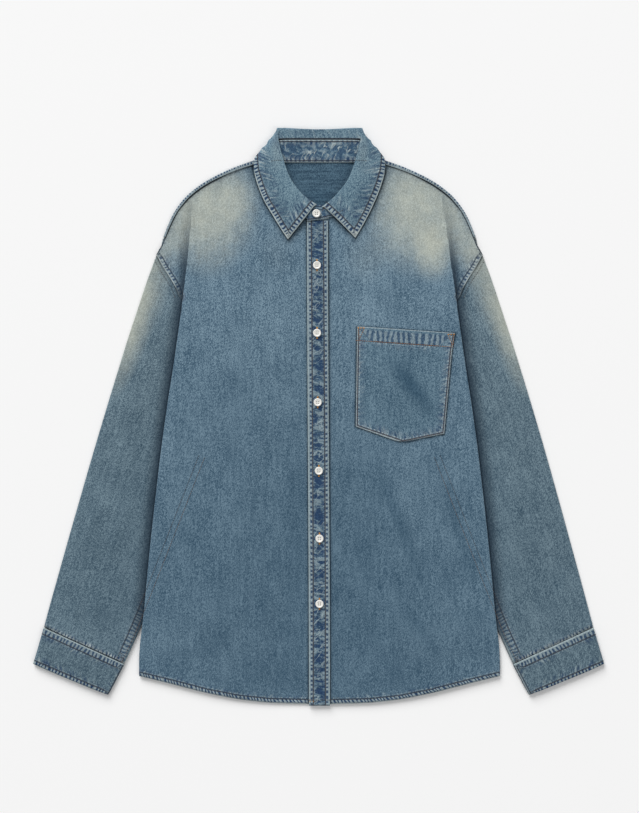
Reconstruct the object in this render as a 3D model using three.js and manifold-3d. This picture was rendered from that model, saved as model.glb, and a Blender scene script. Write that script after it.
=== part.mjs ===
// A long-sleeved denim shirt, buttoned and laid flat with its front upwards. Millimetres. The cloth rests on
// the plane z = 0, the collar points along +Y, and the wearer's left is on +X. "out" is the distance from the
// centre line of the shirt towards either side.

import * as THREE from "three";
import { mergeGeometries, mergeVertices } from "three/addons/utils/BufferGeometryUtils.js";
import Module from "manifold-3d";

const wasm = await Module();
wasm.setup();

// Cloth and how its layers lie on each other
const CLOTH = 1.2;
const SEAM_GAP = 0.3;
const LAYER = CLOTH + SEAM_GAP;
const FLOOR_LEVEL = CLOTH / 2;
const RIGHT_FRONT_LEVEL = FLOOR_LEVEL + LAYER;
const LEFT_FRONT_LEVEL = RIGHT_FRONT_LEVEL + LAYER;
const PLACKET_LEVEL = LEFT_FRONT_LEVEL + LAYER;
const SLEEVE_FLAT = 3.0;
const TURNED_LEVEL = SLEEVE_FLAT + SEAM_GAP + CLOTH / 2;
const FOLD_RADIUS = 1.35;
const FOLD_LEVEL = TURNED_LEVEL + 2 * FOLD_RADIUS;

// Body
const HEM_Y = -403;
const BACK_HEM_LIFT = 3;
const YOKE_SEAM_Y = 251;
const SHOULDER_ROLL = 1.8;
const LIP_LEVEL = FLOOR_LEVEL + 2 * SHOULDER_ROLL;
const SHOULDER_TUCK = 2.6;
const PLACKET_WIDTH = 29.4;
const PLACKET_TOP_Y = 274;
const PLACKET_LEAN = 2.8;
const PLACKET_ROWS = 14;
const PLACKET_HEM_DROP = 1.6;
const FRONT_UNDERLAP = 13.2;
const FIRST_FOLDED_ROW = 5;
const FOLD_DEGREES = [45, 0, -45, -90];
const TURNED_SHARES = [0.3, 0.65, 1];
const TURNED_LEAST = 1.5;
const SIDE_POINTS = FOLD_DEGREES.length + TURNED_SHARES.length;
const VALLEY_SHARE = 0.45;
const BODY_COLUMNS = 12;
const RIGHT_ARM_IN = 2.4;

// The back, which ends inside the fronts where they wrap round the sides
const BACK_CORNER_OUT = 250;
const BACK_COLUMN_SHARES = [-1, -0.75, -0.5, -0.25, 0, 0.25, 0.5, 0.75, 1];
const BACK_SIDE_SHARES = [0.2, 0.4, 0.6, 0.8];
const BACK_SEAM_GAP = 2 * SEAM_GAP;

// The yoke: the heights of its rows, its flat columns from the centre, and the angles of its roll
const YOKE_ROWS = [362, 358.4, 354, 350, 342.3, 333.9, 325.5, 317.1, 308, 299, 288, 275, 259, YOKE_SEAM_Y];
const YOKE_FLAT_SHARES = [0.15, 0.45, 0.8];
const YOKE_ROLL_DEGREES = [-60, -20, 20, 60, 90];
const YOKE_LIP_LEAST = 0.4;

// Sleeves and cuffs
const SLEEVE_RINGS = 13;
const SLEEVE_SPANS = 8;
const SLEEVE_CROWN = 3.6;
const SLEEVE_WAVE = 0.2;
const SLEEVE_WAVE_LENGTH = 29;
const SLEEVE_EDGE_RISE = 32;
const CUFF_SPANS = 6;
const CUFF_CORNER_DROP = 1.2;
const CUFF_WALL = 2.0;
const CUFF_HEIGHT = 6.4;
const CUFF_RINGS = 4;

// Buttons: 18 ligne, four holes
const BUTTON_RADIUS = 5.7;
const BUTTON_HEIGHT = 2.6;
const BUTTON_HOLE = 0.85;
const BUTTON_HOLE_SPREAD = 1.35;
const BUTTON_SIDES = 18;

const DENIM = { color: 0x56707f, roughness: 0.95, metalness: 0 };
const DENIM_DARK = { color: 0x476276, roughness: 0.95, metalness: 0 };
const BUTTON_WHITE = { color: 0xeeeeea, roughness: 0.35, metalness: 0 };

// The outline of the shoulder, from the side of the neck down to the top of the sleeve, and how wide the
// strip of yoke is that shows on the front of the shirt
const SHOULDER = [
  { y: 366, out: 69, lip: 4.4 },
  { y: 362.6, out: 80.5, lip: 4.4 },
  { y: 358.4, out: 93.1, lip: 6.3 },
  { y: 350.7, out: 115.5, lip: 6 },
  { y: 342.3, out: 135.1, lip: 5.2 },
  { y: 333.9, out: 151.9, lip: 4.6 },
  { y: 325.5, out: 165.9, lip: 4.2 },
  { y: 317.1, out: 177.1, lip: 4 },
  { y: 308.7, out: 186.9, lip: 4 },
  { y: 291.9, out: 200.9, lip: 3.8 },
  { y: 275.1, out: 209.5, lip: 3.4 },
  { y: 258.3, out: 216.3, lip: 3 },
  { y: 243.6, out: 221.7, lip: 2.8 },
  { y: 231.7, out: 227.5, lip: 2.8 },
  { y: 222, out: 231, lip: 2.8 },
];

// The neckline of a front, from the throat to the side of the neck, and its shoulder edge on to the crease
const FRONT_TOP = [
  { out: 0, y: 281 },
  { out: 6, y: 281.5 },
  { out: 18, y: 284 },
  { out: 31, y: 290 },
  { out: 42.5, y: 299.5 },
  { out: 53, y: 314 },
  { out: 62, y: 329.5 },
  { out: 68.5, y: 345 },
  { out: 77, y: 356.5 },
  { out: 101, y: 352.6 },
  { out: 127, y: 342.6 },
  { out: 153, y: 329 },
  { out: 177, y: 312.6 },
];

// The side of a front, from the shoulder to the hem. The crease starts soft at the shoulder, becomes a fold
// that lies on the sleeve, and reaches the hem. The edge is the armhole as far as the fold covers it, and
// below that the end of the cloth that is turned under
const FRONT_SIDE = [
  { foldOut: 177, foldY: 312.6, foldZ: 2.1, edgeOut: 228.4, edgeY: 226.8, edgeZ: TURNED_LEVEL },
  { foldOut: 178.5, foldY: 285, foldZ: 3.4, edgeOut: 218.5, edgeY: 208, edgeZ: TURNED_LEVEL },
  { foldOut: 180.5, foldY: 255, foldZ: 4.7, edgeOut: 208.4, edgeY: 193, edgeZ: TURNED_LEVEL },
  { foldOut: 183.8, foldY: 226, foldZ: 5.7, edgeOut: 201.5, edgeY: 181, edgeZ: TURNED_LEVEL },
  { foldOut: 187.5, foldY: 192, foldZ: 6.4, edgeOut: 197, edgeY: 169, edgeZ: TURNED_LEVEL },
  { foldOut: 192.6, foldY: 157.5, foldZ: FOLD_LEVEL, edgeOut: 189, edgeY: 157.5, edgeZ: TURNED_LEVEL },
  { foldOut: 194.4, foldY: 144, foldZ: FOLD_LEVEL, edgeOut: 185, edgeY: 144, edgeZ: TURNED_LEVEL },
  { foldOut: 196.5, foldY: 128, foldZ: FOLD_LEVEL, edgeOut: 178, edgeY: 128, edgeZ: TURNED_LEVEL },
  { foldOut: 200, foldY: 104, foldZ: FOLD_LEVEL, edgeOut: 168.6, edgeY: 104, edgeZ: TURNED_LEVEL },
  { foldOut: 204.5, foldY: 72, foldZ: FOLD_LEVEL, edgeOut: 155.9, edgeY: 72, edgeZ: TURNED_LEVEL },
  { foldOut: 209.6, foldY: 40, foldZ: FOLD_LEVEL, edgeOut: 142.8, edgeY: 40, edgeZ: TURNED_LEVEL },
  { foldOut: 213.8, foldY: 13, foldZ: FOLD_LEVEL, edgeOut: 131, edgeY: 13, edgeZ: TURNED_LEVEL },
  { foldOut: 218.2, foldY: -18, foldZ: FOLD_LEVEL, edgeOut: 133.2, edgeY: -18, edgeZ: TURNED_LEVEL },
  { foldOut: 222.4, foldY: -50, foldZ: FOLD_LEVEL, edgeOut: 143.6, edgeY: -50, edgeZ: TURNED_LEVEL },
  { foldOut: 228.5, foldY: -101, foldZ: FOLD_LEVEL, edgeOut: 160.2, edgeY: -101, edgeZ: TURNED_LEVEL },
  { foldOut: 235.6, foldY: -164, foldZ: FOLD_LEVEL, edgeOut: 180.6, edgeY: -164, edgeZ: TURNED_LEVEL },
  { foldOut: 241.9, foldY: -227, foldZ: FOLD_LEVEL, edgeOut: 200.8, edgeY: -227, edgeZ: TURNED_LEVEL },
  { foldOut: 246.5, foldY: -281, foldZ: FOLD_LEVEL, edgeOut: 218.2, edgeY: -281, edgeZ: TURNED_LEVEL },
  { foldOut: 250.6, foldY: -308, foldZ: 6.1, edgeOut: 227, edgeY: -308, edgeZ: 3.4 },
  { foldOut: 253, foldY: -336, foldZ: 4.9, edgeOut: 236, edgeY: -336, edgeZ: 2.2 },
  { foldOut: 252.8, foldY: -363.4, foldZ: 4.8, edgeOut: 244, edgeY: -363.4, edgeZ: 2.1 },
];

// The soft folds of the fronts: the line of each ridge, half its width and its height. The left front is
// drawn into slanting folds below its pocket, and the right front only sags a little
const FOLDS = [
  { side: 1, fromOut: 58, fromY: -20, toOut: 138, toY: -250, width: 20, rise: 1.9 },
  { side: 1, fromOut: 128, fromY: -30, toOut: 196, toY: -275, width: 19, rise: 1.7 },
  { side: 1, fromOut: 92, fromY: -225, toOut: 160, toY: -350, width: 17, rise: 1.3 },
  { side: 1, fromOut: 74, fromY: 120, toOut: 130, toY: -5, width: 24, rise: 0.9 },
  { side: 1, fromOut: 150, fromY: 235, toOut: 60, toY: 150, width: 26, rise: 0.8 },
  { side: -1, fromOut: 70, fromY: 150, toOut: 88, toY: -60, width: 30, rise: 0.9 },
  { side: -1, fromOut: 120, fromY: -60, toOut: 105, toY: -330, width: 28, rise: 1.1 },
  { side: -1, fromOut: 176, fromY: 90, toOut: 186, toY: -200, width: 20, rise: 0.8 },
];

const FOLD_END_SHARE = 0.35;
const FOLD_OUTSIDE_SHARE = 0.3;

// The hem, from the placket to the side
const HEM = [
  { out: 0, y: HEM_Y },
  { out: 69, y: -401.2 },
  { out: 113.5, y: -396.2 },
  { out: 158, y: -387.2 },
  { out: 212, y: -373.2 },
  { out: 253, y: -363.4 },
];

// The armhole as the sleeve and the back share it, from the shoulder to the underarm
const ARMHOLE = [
  { out: 224.4, y: 235.5 },
  { out: 213.6, y: 211.5 },
  { out: 203, y: 195 },
  { out: 194, y: 177.5 },
  { out: 184, y: 152 },
  { out: 172, y: 122 },
  { out: 157, y: 85 },
  { out: 142, y: 48 },
  { out: 128.1, y: 16.1 },
];

// The two long edges of a sleeve, from the armhole to the cuff seam
const SLEEVE_OUTER = [
  { y: 235.5, out: 224.4 },
  { y: 224.7, out: 230.3 },
  { y: 191.1, out: 241.5 },
  { y: 163.1, out: 250.2 },
  { y: 107.1, out: 269 },
  { y: 51.1, out: 286.3 },
  { y: -32.9, out: 311.8 },
  { y: -144.9, out: 344.2 },
  { y: -256.9, out: 375.9 },
  { y: -294.7, out: 386 },
];
const SLEEVE_INNER = [
  { y: 16.1, out: 128.1 },
  { y: -60, out: 157 },
  { y: -150, out: 192 },
  { y: -247.8, out: 230.5 },
  { y: -297.5, out: 250.6 },
  { y: -312.9, out: 257.2 },
  { y: -346.2, out: 272.8 },
];

// The cuff: the ends of its seam with the sleeve and of its free edge
const CUFF = {
  seamOuter: { out: 386.4, y: -295.3 },
  seamInner: { out: 272.6, y: -346.9 },
  freeOuter: { out: 401.2, y: -346.8 },
  freeInner: { out: 295.2, y: -390.6 },
};

// The pocket on the left front
const POCKET = {
  topInner: { out: 52.9, y: 126 },
  topOuter: { out: 189.4, y: 116.6 },
  sideOuter: { out: 185.1, y: 93.1 },
  bottomOuter: { out: 174.3, y: -24.1 },
  bottomPoint: { out: 116.6, y: -36.1 },
  bottomInner: { out: 50.8, y: -14 },
};
const POCKET_ROWS = 8;
const POCKET_COLUMNS = 8;
const POCKET_HEM_SHARE = 0.17;
const POCKET_EXTRA_GAP = 0.1;

// The collar by stations from the front to the middle of the back: the neck seam of the stand, the seam of
// the stand and the leaf, the roll where the leaf turns over, the turn of the fall, and its outer edge
const COLLAR_RIGHT_FRONT = [
  {
    neck: [2, 274.4, 5.1], seam: [3.9, 294.8, 6.6], roll: [4.2, 298.3, 9.6],
    turn: [24, 273, 9], edge: [44.1, 247.7, 5.7],
  },
  {
    neck: [18, 275.8, 5.1], seam: [15.1, 301.5, 7.2], roll: [14.7, 305.5, 10.4],
    turn: [34, 285, 9.6], edge: [54.5, 263.2, 5.7],
  },
  {
    neck: [34, 284.2, 4.7], seam: [26.9, 311, 7.5], roll: [25.9, 314.9, 11],
    turn: [46, 299, 10], edge: [65.8, 282.1, 5.7],
  },
];
const COLLAR_LEFT_FRONT = [
  {
    neck: [-2, 275.2, 6.6], seam: [2.4, 291, 7], roll: [3.5, 295.5, 10.6],
    turn: [27, 273.5, 9.6], edge: [50.1, 249.9, 5.9],
  },
  {
    neck: [18, 279.3, 6.3], seam: [17.5, 301.2, 7.3], roll: [17.5, 305.9, 11],
    turn: [40, 287, 10], edge: [60.5, 267, 5.9],
  },
  {
    neck: [34, 286.5, 5.9], seam: [30, 315.4, 7.6], roll: [29.5, 319.4, 11],
    turn: [50, 302, 10], edge: [69.3, 283.5, 5.9],
  },
];
const COLLAR_SIDE = [
  {
    neck: [49, 297.5, 5.5], seam: [39.9, 327.3, 7.6], roll: [38.7, 331.1, 11],
    turn: [58, 316, 10.2], edge: [77.2, 300.3, 5.8],
  },
  {
    neck: [61, 312.9, 5.4], seam: [46.8, 342.9, 7.6], roll: [45.1, 346.5, 11],
    turn: [66, 334, 10.2], edge: [85.4, 320, 5.8],
  },
  {
    neck: [70, 330, 6], seam: [51.8, 358.5, 7.6], roll: [49.7, 361.9, 11],
    turn: [72, 354, 10.4], edge: [92.9, 344.5, 6.8],
  },
  {
    neck: [73, 345, 6.1], seam: [56.6, 372.5, 7.5], roll: [54.6, 375.9, 10.8],
    turn: [74, 371.5, 9.6], edge: [90.5, 362, 6],
  },
  {
    neck: [72, 349.5, 6.1], seam: [58.2, 379, 7.4], roll: [56.6, 383, 10.6],
    turn: [78.8, 376.5, 7.4], edge: [83, 371.5, 3.6],
  },
  {
    neck: [69.5, 353.4, 6.1], seam: [59.4, 384.8, 7.3], roll: [58, 389.6, 10.2],
    turn: [72.4, 385.4, 5], edge: [69, 374, 1.6],
  },
  {
    neck: [59, 355.6, 4], seam: [55.6, 386.6, 6.2], roll: [58.6, 404.4, 8.6],
    turn: [59.6, 402.4, 3.6], edge: [54, 369, 0.6],
  },
  {
    neck: [45, 355.6, 2.2], seam: [44.6, 387.1, 5.8], roll: [46.5, 404.6, 8.2],
    turn: [47, 403, 2.8], edge: [41.4, 364.6, 0.6],
  },
  {
    neck: [23, 355.6, 2.1], seam: [22.4, 387.1, 5.7], roll: [23, 403.2, 8.2],
    turn: [23, 401.5, 2.8], edge: [22, 364.6, 0.6],
  },
];
const COLLAR_BACK = {
  neck: [0, 355.6, 2.1],
  seam: [0, 387.1, 5.7],
  roll: [0, 402.4, 8.2],
  turn: [0, 400.7, 2.8],
  edge: [0, 364.6, 0.6],
};
// How far the two ends of the stand pass the centre line, the right one under the left
const STAND_UNDER_END = { neck: [-13.3, 277, 5.1], seam: [-13.3, 296.5, 5.3] };
const STAND_OVER_END = { neck: [-17.5, 273.2, 6.7], seam: [-15.5, 292.6, 6.9] };
const STAND_SPANS = 3;
const LEAF_SPANS = 9;
const LEAF_START = 1.45;
const LEAF_CORNER_START = 2.6;
const LEAF_CREST = 1.4;
const LEAF_RISE_SHARE = 0.55;

// Buttons down the middle, the first on the stand
const BUTTONS = [
  { x: -4.3, y: 283.9, seat: 7.5 },
  { x: -3.6, y: 211.7, seat: PLACKET_LEVEL },
  { x: -3.4, y: 116.9, seat: PLACKET_LEVEL },
  { x: -2.5, y: 19.9, seat: PLACKET_LEVEL },
  { x: -0.9, y: -76, seat: PLACKET_LEVEL },
  { x: 0, y: -170.7, seat: PLACKET_LEVEL },
  { x: 0, y: -262.1, seat: PLACKET_LEVEL },
];

function smooth(from, to, value) {
  const t = Math.min(1, Math.max(0, (value - from) / (to - from)));
  return t * t * (3 - 2 * t);
}

function mix(a, b, t) {
  return a + (b - a) * t;
}

// The place part of the way from one place to another
function between(from, to, t) {
  return { out: mix(from.out, to.out, t), y: mix(from.y, to.y, t) };
}

// Reads a column of a table between its rows, by another column that runs steadily up or down
function lookUp(table, keyName, key, valueName) {
  const rising = table[table.length - 1][keyName] > table[0][keyName];
  const rows = rising ? table : [...table].reverse();
  const next = rows.findIndex((row) => row[keyName] >= key);
  if (next === 0) return rows[0][valueName];
  if (next < 0) return rows[rows.length - 1][valueName];
  const a = rows[next - 1];
  const b = rows[next];
  return mix(a[valueName], b[valueName], (key - a[keyName]) / (b[keyName] - a[keyName]));
}

// The point at a share of the length of a line of table rows
function along(table, share) {
  const steps = table.slice(1).map((row, i) => Math.hypot(row.out - table[i].out, row.y - table[i].y));
  let left = share * steps.reduce((sum, step) => sum + step, 0);
  let i = 0;
  while (i < steps.length - 1 && left > steps[i]) {
    left -= steps[i];
    i += 1;
  }
  return between(table[i], table[i + 1], Math.min(1, left / steps[i]));
}

function place(side, out, y, z) {
  return new THREE.Vector3(side * out, y, z);
}

// A wall of even thickness on both sides of a net of points. A closed net joins its last column to its first
function wall(net, thickness, closed = false) {
  const columns = net[0].length;
  const at = (i, j) => {
    const row = net[Math.min(Math.max(i, 0), net.length - 1)];
    return closed ? row[(j + columns) % columns] : row[Math.min(Math.max(j, 0), columns - 1)];
  };
  const positions = [];
  for (let i = 0; i < net.length; i += 1) {
    for (let j = 0; j < columns; j += 1) {
      const down = at(i + 1, j).clone().sub(at(i - 1, j));
      const across = at(i, j + 1).clone().sub(at(i, j - 1));
      const normal = down.cross(across).setLength(thickness / 2);
      positions.push(...net[i][j].clone().add(normal).toArray());
      positions.push(...net[i][j].clone().sub(normal).toArray());
    }
  }
  const index = [];
  const corner = (i, j, layer) => 2 * (i * columns + (j % columns)) + layer;
  const quad = (a, b, c, d) => index.push(a, b, c, a, c, d);
  const spans = closed ? columns : columns - 1;
  const end = net.length - 1;
  for (let i = 0; i < end; i += 1) {
    for (let j = 0; j < spans; j += 1) {
      quad(corner(i, j, 0), corner(i + 1, j, 0), corner(i + 1, j + 1, 0), corner(i, j + 1, 0));
      quad(corner(i, j, 1), corner(i, j + 1, 1), corner(i + 1, j + 1, 1), corner(i + 1, j, 1));
    }
    if (!closed) {
      quad(corner(i, 0, 0), corner(i, 0, 1), corner(i + 1, 0, 1), corner(i + 1, 0, 0));
      quad(corner(i, spans, 0), corner(i + 1, spans, 0), corner(i + 1, spans, 1), corner(i, spans, 1));
    }
  }
  for (let j = 0; j < spans; j += 1) {
    quad(corner(0, j, 0), corner(0, j + 1, 0), corner(0, j + 1, 1), corner(0, j, 1));
    quad(corner(end, j, 0), corner(end, j, 1), corner(end, j + 1, 1), corner(end, j + 1, 0));
  }
  const geometry = new THREE.BufferGeometry();
  geometry.setAttribute("position", new THREE.Float32BufferAttribute(positions, 3));
  geometry.setIndex(facingOut(positions, index));
  return geometry;
}

// Turns the triangles round if the volume that they enclose comes out negative
function facingOut(positions, index) {
  const corner = (k) => new THREE.Vector3().fromArray(positions, 3 * index[k]);
  let volume = 0;
  for (let k = 0; k < index.length; k += 3) {
    volume += corner(k).dot(corner(k + 1).cross(corner(k + 2)));
  }
  if (volume < 0) index.reverse();
  return index;
}

function named(name, geometry, look) {
  geometry.computeVertexNormals();
  const mesh = new THREE.Mesh(geometry, new THREE.MeshStandardMaterial(look));
  mesh.name = name;
  return mesh;
}

// The outline of the shoulder, moved in square to itself by a distance
function shoulderOut(y, inset) {
  const step = 2;
  const outAt = (height) => lookUp(SHOULDER, "y", height, "out");
  const slope = (outAt(y + step) - outAt(y - step)) / (2 * step);
  return outAt(y) - inset * Math.hypot(1, slope);
}

// Height of the middle of a front's cloth over any place on it. It lies low down the middle and rises to the
// fold at the side, where the sleeve is under it, with a few long shallow waves between
function frontHeight(side, out, y) {
  const low = side < 0 ? RIGHT_FRONT_LEVEL : LEFT_FRONT_LEVEL;
  const share = (out + FRONT_UNDERLAP) / (lookUp(FRONT_SIDE, "foldY", y, "foldOut") + FRONT_UNDERLAP);
  const rise = smooth(0.08, 0.7, share);
  const free = smooth(0.12, 0.3, share) * smooth(1, 0.84, share) * smooth(250, 120, y);
  const ridges = FOLDS.filter((fold) => fold.side === side).map((fold) => ridge(fold, out, y));
  const high = lookUp(FRONT_SIDE, "foldY", y, "foldZ");
  return mix(low, high, rise) + free * ridges.reduce((sum, z) => sum + z, 0);
}

// Height of one soft fold: a long ridge that fades out at both ends
function ridge(fold, out, y) {
  const length = Math.hypot(fold.toOut - fold.fromOut, fold.toY - fold.fromY);
  const ahead = { out: (fold.toOut - fold.fromOut) / length, y: (fold.toY - fold.fromY) / length };
  const forward = (out - fold.fromOut) * ahead.out + (y - fold.fromY) * ahead.y;
  const aside = (out - fold.fromOut) * ahead.y - (y - fold.fromY) * ahead.out;
  const end = FOLD_END_SHARE * length;
  const outside = FOLD_OUTSIDE_SHARE * end;
  const fade = smooth(-outside, end, forward) * smooth(length + outside, length - end, forward);
  return fold.rise * fade * Math.exp(-((aside / fold.width) ** 2));
}

function placketMiddle(y) {
  return -PLACKET_LEAN * smooth(HEM_Y, PLACKET_TOP_Y, y);
}

// One front: from its edge under the placket out to the fold, round it, and on to the armhole or, under the
// body, to the side seam
function frontPanel(side) {
  const top = FRONT_TOP.map((row, i) => ({ out: i === 0 ? -FRONT_UNDERLAP : row.out, y: row.y }));
  const first = FRONT_SIDE[0];
  const last = FRONT_SIDE[FRONT_SIDE.length - 1];
  const net = FRONT_SIDE.map((row, i) => {
    const down = (first.foldY - row.foldY) / (first.foldY - last.foldY);
    const turned = i >= FIRST_FOLDED_ROW;
    const foldIn = turned ? FOLD_RADIUS + CLOTH / 2 : 0;
    const middleY = mix(top[0].y, HEM_Y, down);
    const points = [];
    for (let j = 0; j <= BODY_COLUMNS; j += 1) {
      const u = j / BODY_COLUMNS;
      const centre = { out: side * placketMiddle(middleY) - FRONT_UNDERLAP, y: middleY };
      const hemOut = mix(-FRONT_UNDERLAP, last.foldOut, u);
      const hem = { out: hemOut, y: lookUp(HEM, "out", Math.max(0, hemOut), "y") };
      const blend = (key, fold, firstFold, lastFold) =>
        mix(centre[key], fold, u) +
        mix(top[j][key], hem[key], down) -
        mix(mix(top[0][key], firstFold, u), mix(key === "y" ? HEM_Y : -FRONT_UNDERLAP, lastFold, u), down);
      const y = blend("y", row.foldY, first.foldY, last.foldY);
      const out = blend("out", row.foldOut, first.foldOut, last.foldOut) - foldIn * smooth(0.8, 1, u);
      points.push(place(side, out, y, frontHeight(side, out, y)));
    }
    if (i === 0) return [...points, ...shoulderTuck(side)];
    return [...points, ...(turned ? turnedUnder(side, row) : overShoulder(side, row))];
  });
  return wall(net, CLOTH);
}

// The shoulder edge of a front between the crease and the sleeve, tucked under the strip of yoke
function shoulderTuck(side) {
  const from = FRONT_SIDE[0];
  return Array.from({ length: SIDE_POINTS }, (_, k) => {
    const t = (k + 1) / SIDE_POINTS;
    const y = mix(from.foldY, from.edgeY, t);
    const out = t === 1 ? from.edgeOut : shoulderOut(y, SHOULDER_TUCK);
    return place(side, out, y, mix(RIGHT_FRONT_LEVEL, TURNED_LEVEL, smooth(250, 238, y)));
  });
}

// From the soft crease out to the armhole: a valley beside the body, then level with the sleeve
function overShoulder(side, row) {
  return Array.from({ length: SIDE_POINTS }, (_, k) => {
    const t = (k + 1) / SIDE_POINTS;
    const z = mix(row.foldZ, row.edgeZ, smooth(0, VALLEY_SHARE, t));
    return place(side, mix(row.foldOut, row.edgeOut, t), mix(row.foldY, row.edgeY, t), z);
  });
}

// Round the fold and back under the front
function turnedUnder(side, row) {
  const centreOut = row.foldOut - FOLD_RADIUS - CLOTH / 2;
  const centreZ = row.edgeZ + FOLD_RADIUS;
  const points = FOLD_DEGREES.map((degrees) => {
    const angle = THREE.MathUtils.degToRad(degrees);
    const out = centreOut + FOLD_RADIUS * Math.cos(angle);
    return place(side, out, row.foldY, centreZ + FOLD_RADIUS * Math.sin(angle));
  });
  for (const t of TURNED_SHARES) {
    const out = mix(centreOut, Math.min(row.edgeOut, centreOut - TURNED_LEAST), t);
    points.push(place(side, out, mix(row.foldY, row.edgeY, t), row.edgeZ));
  }
  return points;
}

function backPanel() {
  const sides = [{ out: shoulderOut(YOKE_SEAM_Y, SEAM_GAP), y: YOKE_SEAM_Y - SEAM_GAP }];
  for (let j = 0; j <= SLEEVE_SPANS; j += 1) {
    const seam = along(ARMHOLE, j / SLEEVE_SPANS);
    sides.push({ out: seam.out - BACK_SEAM_GAP, y: seam.y + SEAM_GAP });
  }
  const underarm = sides[sides.length - 1];
  const corner = { out: BACK_CORNER_OUT, y: HEM[HEM.length - 1].y + BACK_HEM_LIFT };
  for (const t of BACK_SIDE_SHARES) {
    sides.push(between(underarm, corner, t));
  }
  const across = (out, yAt) => BACK_COLUMN_SHARES.map((s) => new THREE.Vector3(s * out, yAt(s), FLOOR_LEVEL));
  const hemY = (s) => lookUp(HEM, "out", Math.abs(s) * corner.out, "y") + BACK_HEM_LIFT;
  return wall([...sides.map((row) => across(row.out, () => row.y)), across(corner.out, hemY)], CLOTH);
}

// The yoke: flat across the back, rolled over both shoulders, and ending in a narrow strip on the front
function yoke() {
  const half = (y) => {
    const stretch = shoulderOut(y, 0) - shoulderOut(y, 1);
    const inset = SHOULDER_ROLL + CLOTH / 2;
    const centre = shoulderOut(y, inset);
    const lip = shoulderOut(y, Math.max(lookUp(SHOULDER, "y", y, "lip"), inset + YOKE_LIP_LEAST));
    const over = YOKE_ROLL_DEGREES.map((degrees) => {
      const angle = THREE.MathUtils.degToRad(degrees);
      const out = centre + SHOULDER_ROLL * stretch * Math.cos(angle);
      return { out, z: FLOOR_LEVEL + SHOULDER_ROLL * (1 + Math.sin(angle)) };
    });
    const under = [...YOKE_FLAT_SHARES, 1].map((t) => ({ out: t * centre, z: FLOOR_LEVEL }));
    return [...under, ...over, { out: lip, z: LIP_LEVEL }];
  };
  const net = YOKE_ROWS.map((y) => {
    const right = half(y).map((p) => place(1, p.out, y, p.z));
    const left = half(y).map((p) => place(-1, p.out, y, p.z));
    return [...left.reverse(), ...right];
  });
  return wall(net, CLOTH);
}

// The strip down the left front that takes the buttonholes
function placket() {
  const net = Array.from({ length: PLACKET_ROWS + 1 }, (_, i) => {
    const y = mix(PLACKET_TOP_Y, HEM_Y - PLACKET_HEM_DROP, i / PLACKET_ROWS);
    return [-0.5, 0, 0.5].map((t) => {
      const x = placketMiddle(y) + t * PLACKET_WIDTH;
      return new THREE.Vector3(x, y, frontHeight(1, Math.max(x, 0), y) + LAYER);
    });
  });
  return wall(net, CLOTH);
}

function pocket() {
  const net = Array.from({ length: POCKET_ROWS + 1 }, (_, i) => {
    const v = i / POCKET_ROWS;
    const bend = POCKET_COLUMNS / 2;
    const inner = between(POCKET.topInner, POCKET.bottomInner, v);
    const [from, to, t] =
      v < POCKET_HEM_SHARE
        ? [POCKET.topOuter, POCKET.sideOuter, v / POCKET_HEM_SHARE]
        : [POCKET.sideOuter, POCKET.bottomOuter, (v - POCKET_HEM_SHARE) / (1 - POCKET_HEM_SHARE)];
    const outer = between(from, to, t);
    return Array.from({ length: POCKET_COLUMNS + 1 }, (_, j) => {
      const u = j / POCKET_COLUMNS;
      const straight = mix(POCKET.bottomInner.y, POCKET.bottomOuter.y, u);
      const pointed =
        j <= bend
          ? mix(POCKET.bottomInner.y, POCKET.bottomPoint.y, j / bend)
          : mix(POCKET.bottomPoint.y, POCKET.bottomOuter.y, (j - bend) / bend);
      const out = mix(inner.out, outer.out, u);
      const y = mix(inner.y, outer.y, u) + v * v * (pointed - straight);
      return place(1, out, y, frontHeight(1, out, y) + LAYER + POCKET_EXTRA_GAP);
    });
  });
  return wall(net, CLOTH);
}

function armSide(side, out, y) {
  return side > 0 ? out - RIGHT_ARM_IN * smooth(20, -300, y) : out;
}

// How thick the flattened sleeve is. It is pressed thin under the body and fuller where it lies free
function sleeveHeight(out, y) {
  const fromFold = out - lookUp(FRONT_SIDE, "foldY", y, "foldOut");
  const fromEdge = lookUp(SLEEVE_OUTER, "y", y, "out") - out;
  const besideFold = y < -290 ? 1 : smooth(5, 40, fromFold);
  const besideEdge = smooth(2, 2 + SLEEVE_EDGE_RISE, fromEdge);
  const wave = 1 - SLEEVE_WAVE + SLEEVE_WAVE * Math.sin(y / SLEEVE_WAVE_LENGTH);
  return SLEEVE_FLAT + SLEEVE_CROWN * besideFold * besideEdge * smooth(225, 120, y) * wave;
}

// A flattened tube: each ring runs flat under, round one edge, over the top and round the other edge
function flatTube(side, lines, height, thickness) {
  const round = [-90, -45, 0, 45, 90].map((degrees) => THREE.MathUtils.degToRad(degrees));
  const net = lines.map((line) => {
    const spans = line.length - 1;
    const across = (a, b) => {
      const length = Math.hypot(b.out - a.out, b.y - a.y);
      return { out: (b.out - a.out) / length, y: (b.y - a.y) / length };
    };
    const edge = (end, inward, angles) => {
      const radius = (height(end.out, end.y) - thickness) / 2;
      return angles.map((angle) => {
        const inset = thickness / 2 + radius * (1 - Math.cos(angle));
        const z = thickness / 2 + radius * (1 + Math.sin(angle));
        return place(side, armSide(side, end.out + inward.out * inset, end.y), end.y + inward.y * inset, z);
      });
    };
    const inner = line.slice(1, spans);
    const flat = (p, z) => place(side, armSide(side, p.out, p.y), p.y, z);
    const top = inner.map((p) => flat(p, height(p.out, p.y) - thickness / 2));
    const under = inner.map((p) => flat(p, thickness / 2));
    return [
      ...edge(line[0], across(line[0], line[1]), round),
      ...top,
      ...edge(line[spans], across(line[spans], line[spans - 1]), [...round].reverse()),
      ...under.reverse(),
    ];
  });
  return wall(net, thickness, true);
}

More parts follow.
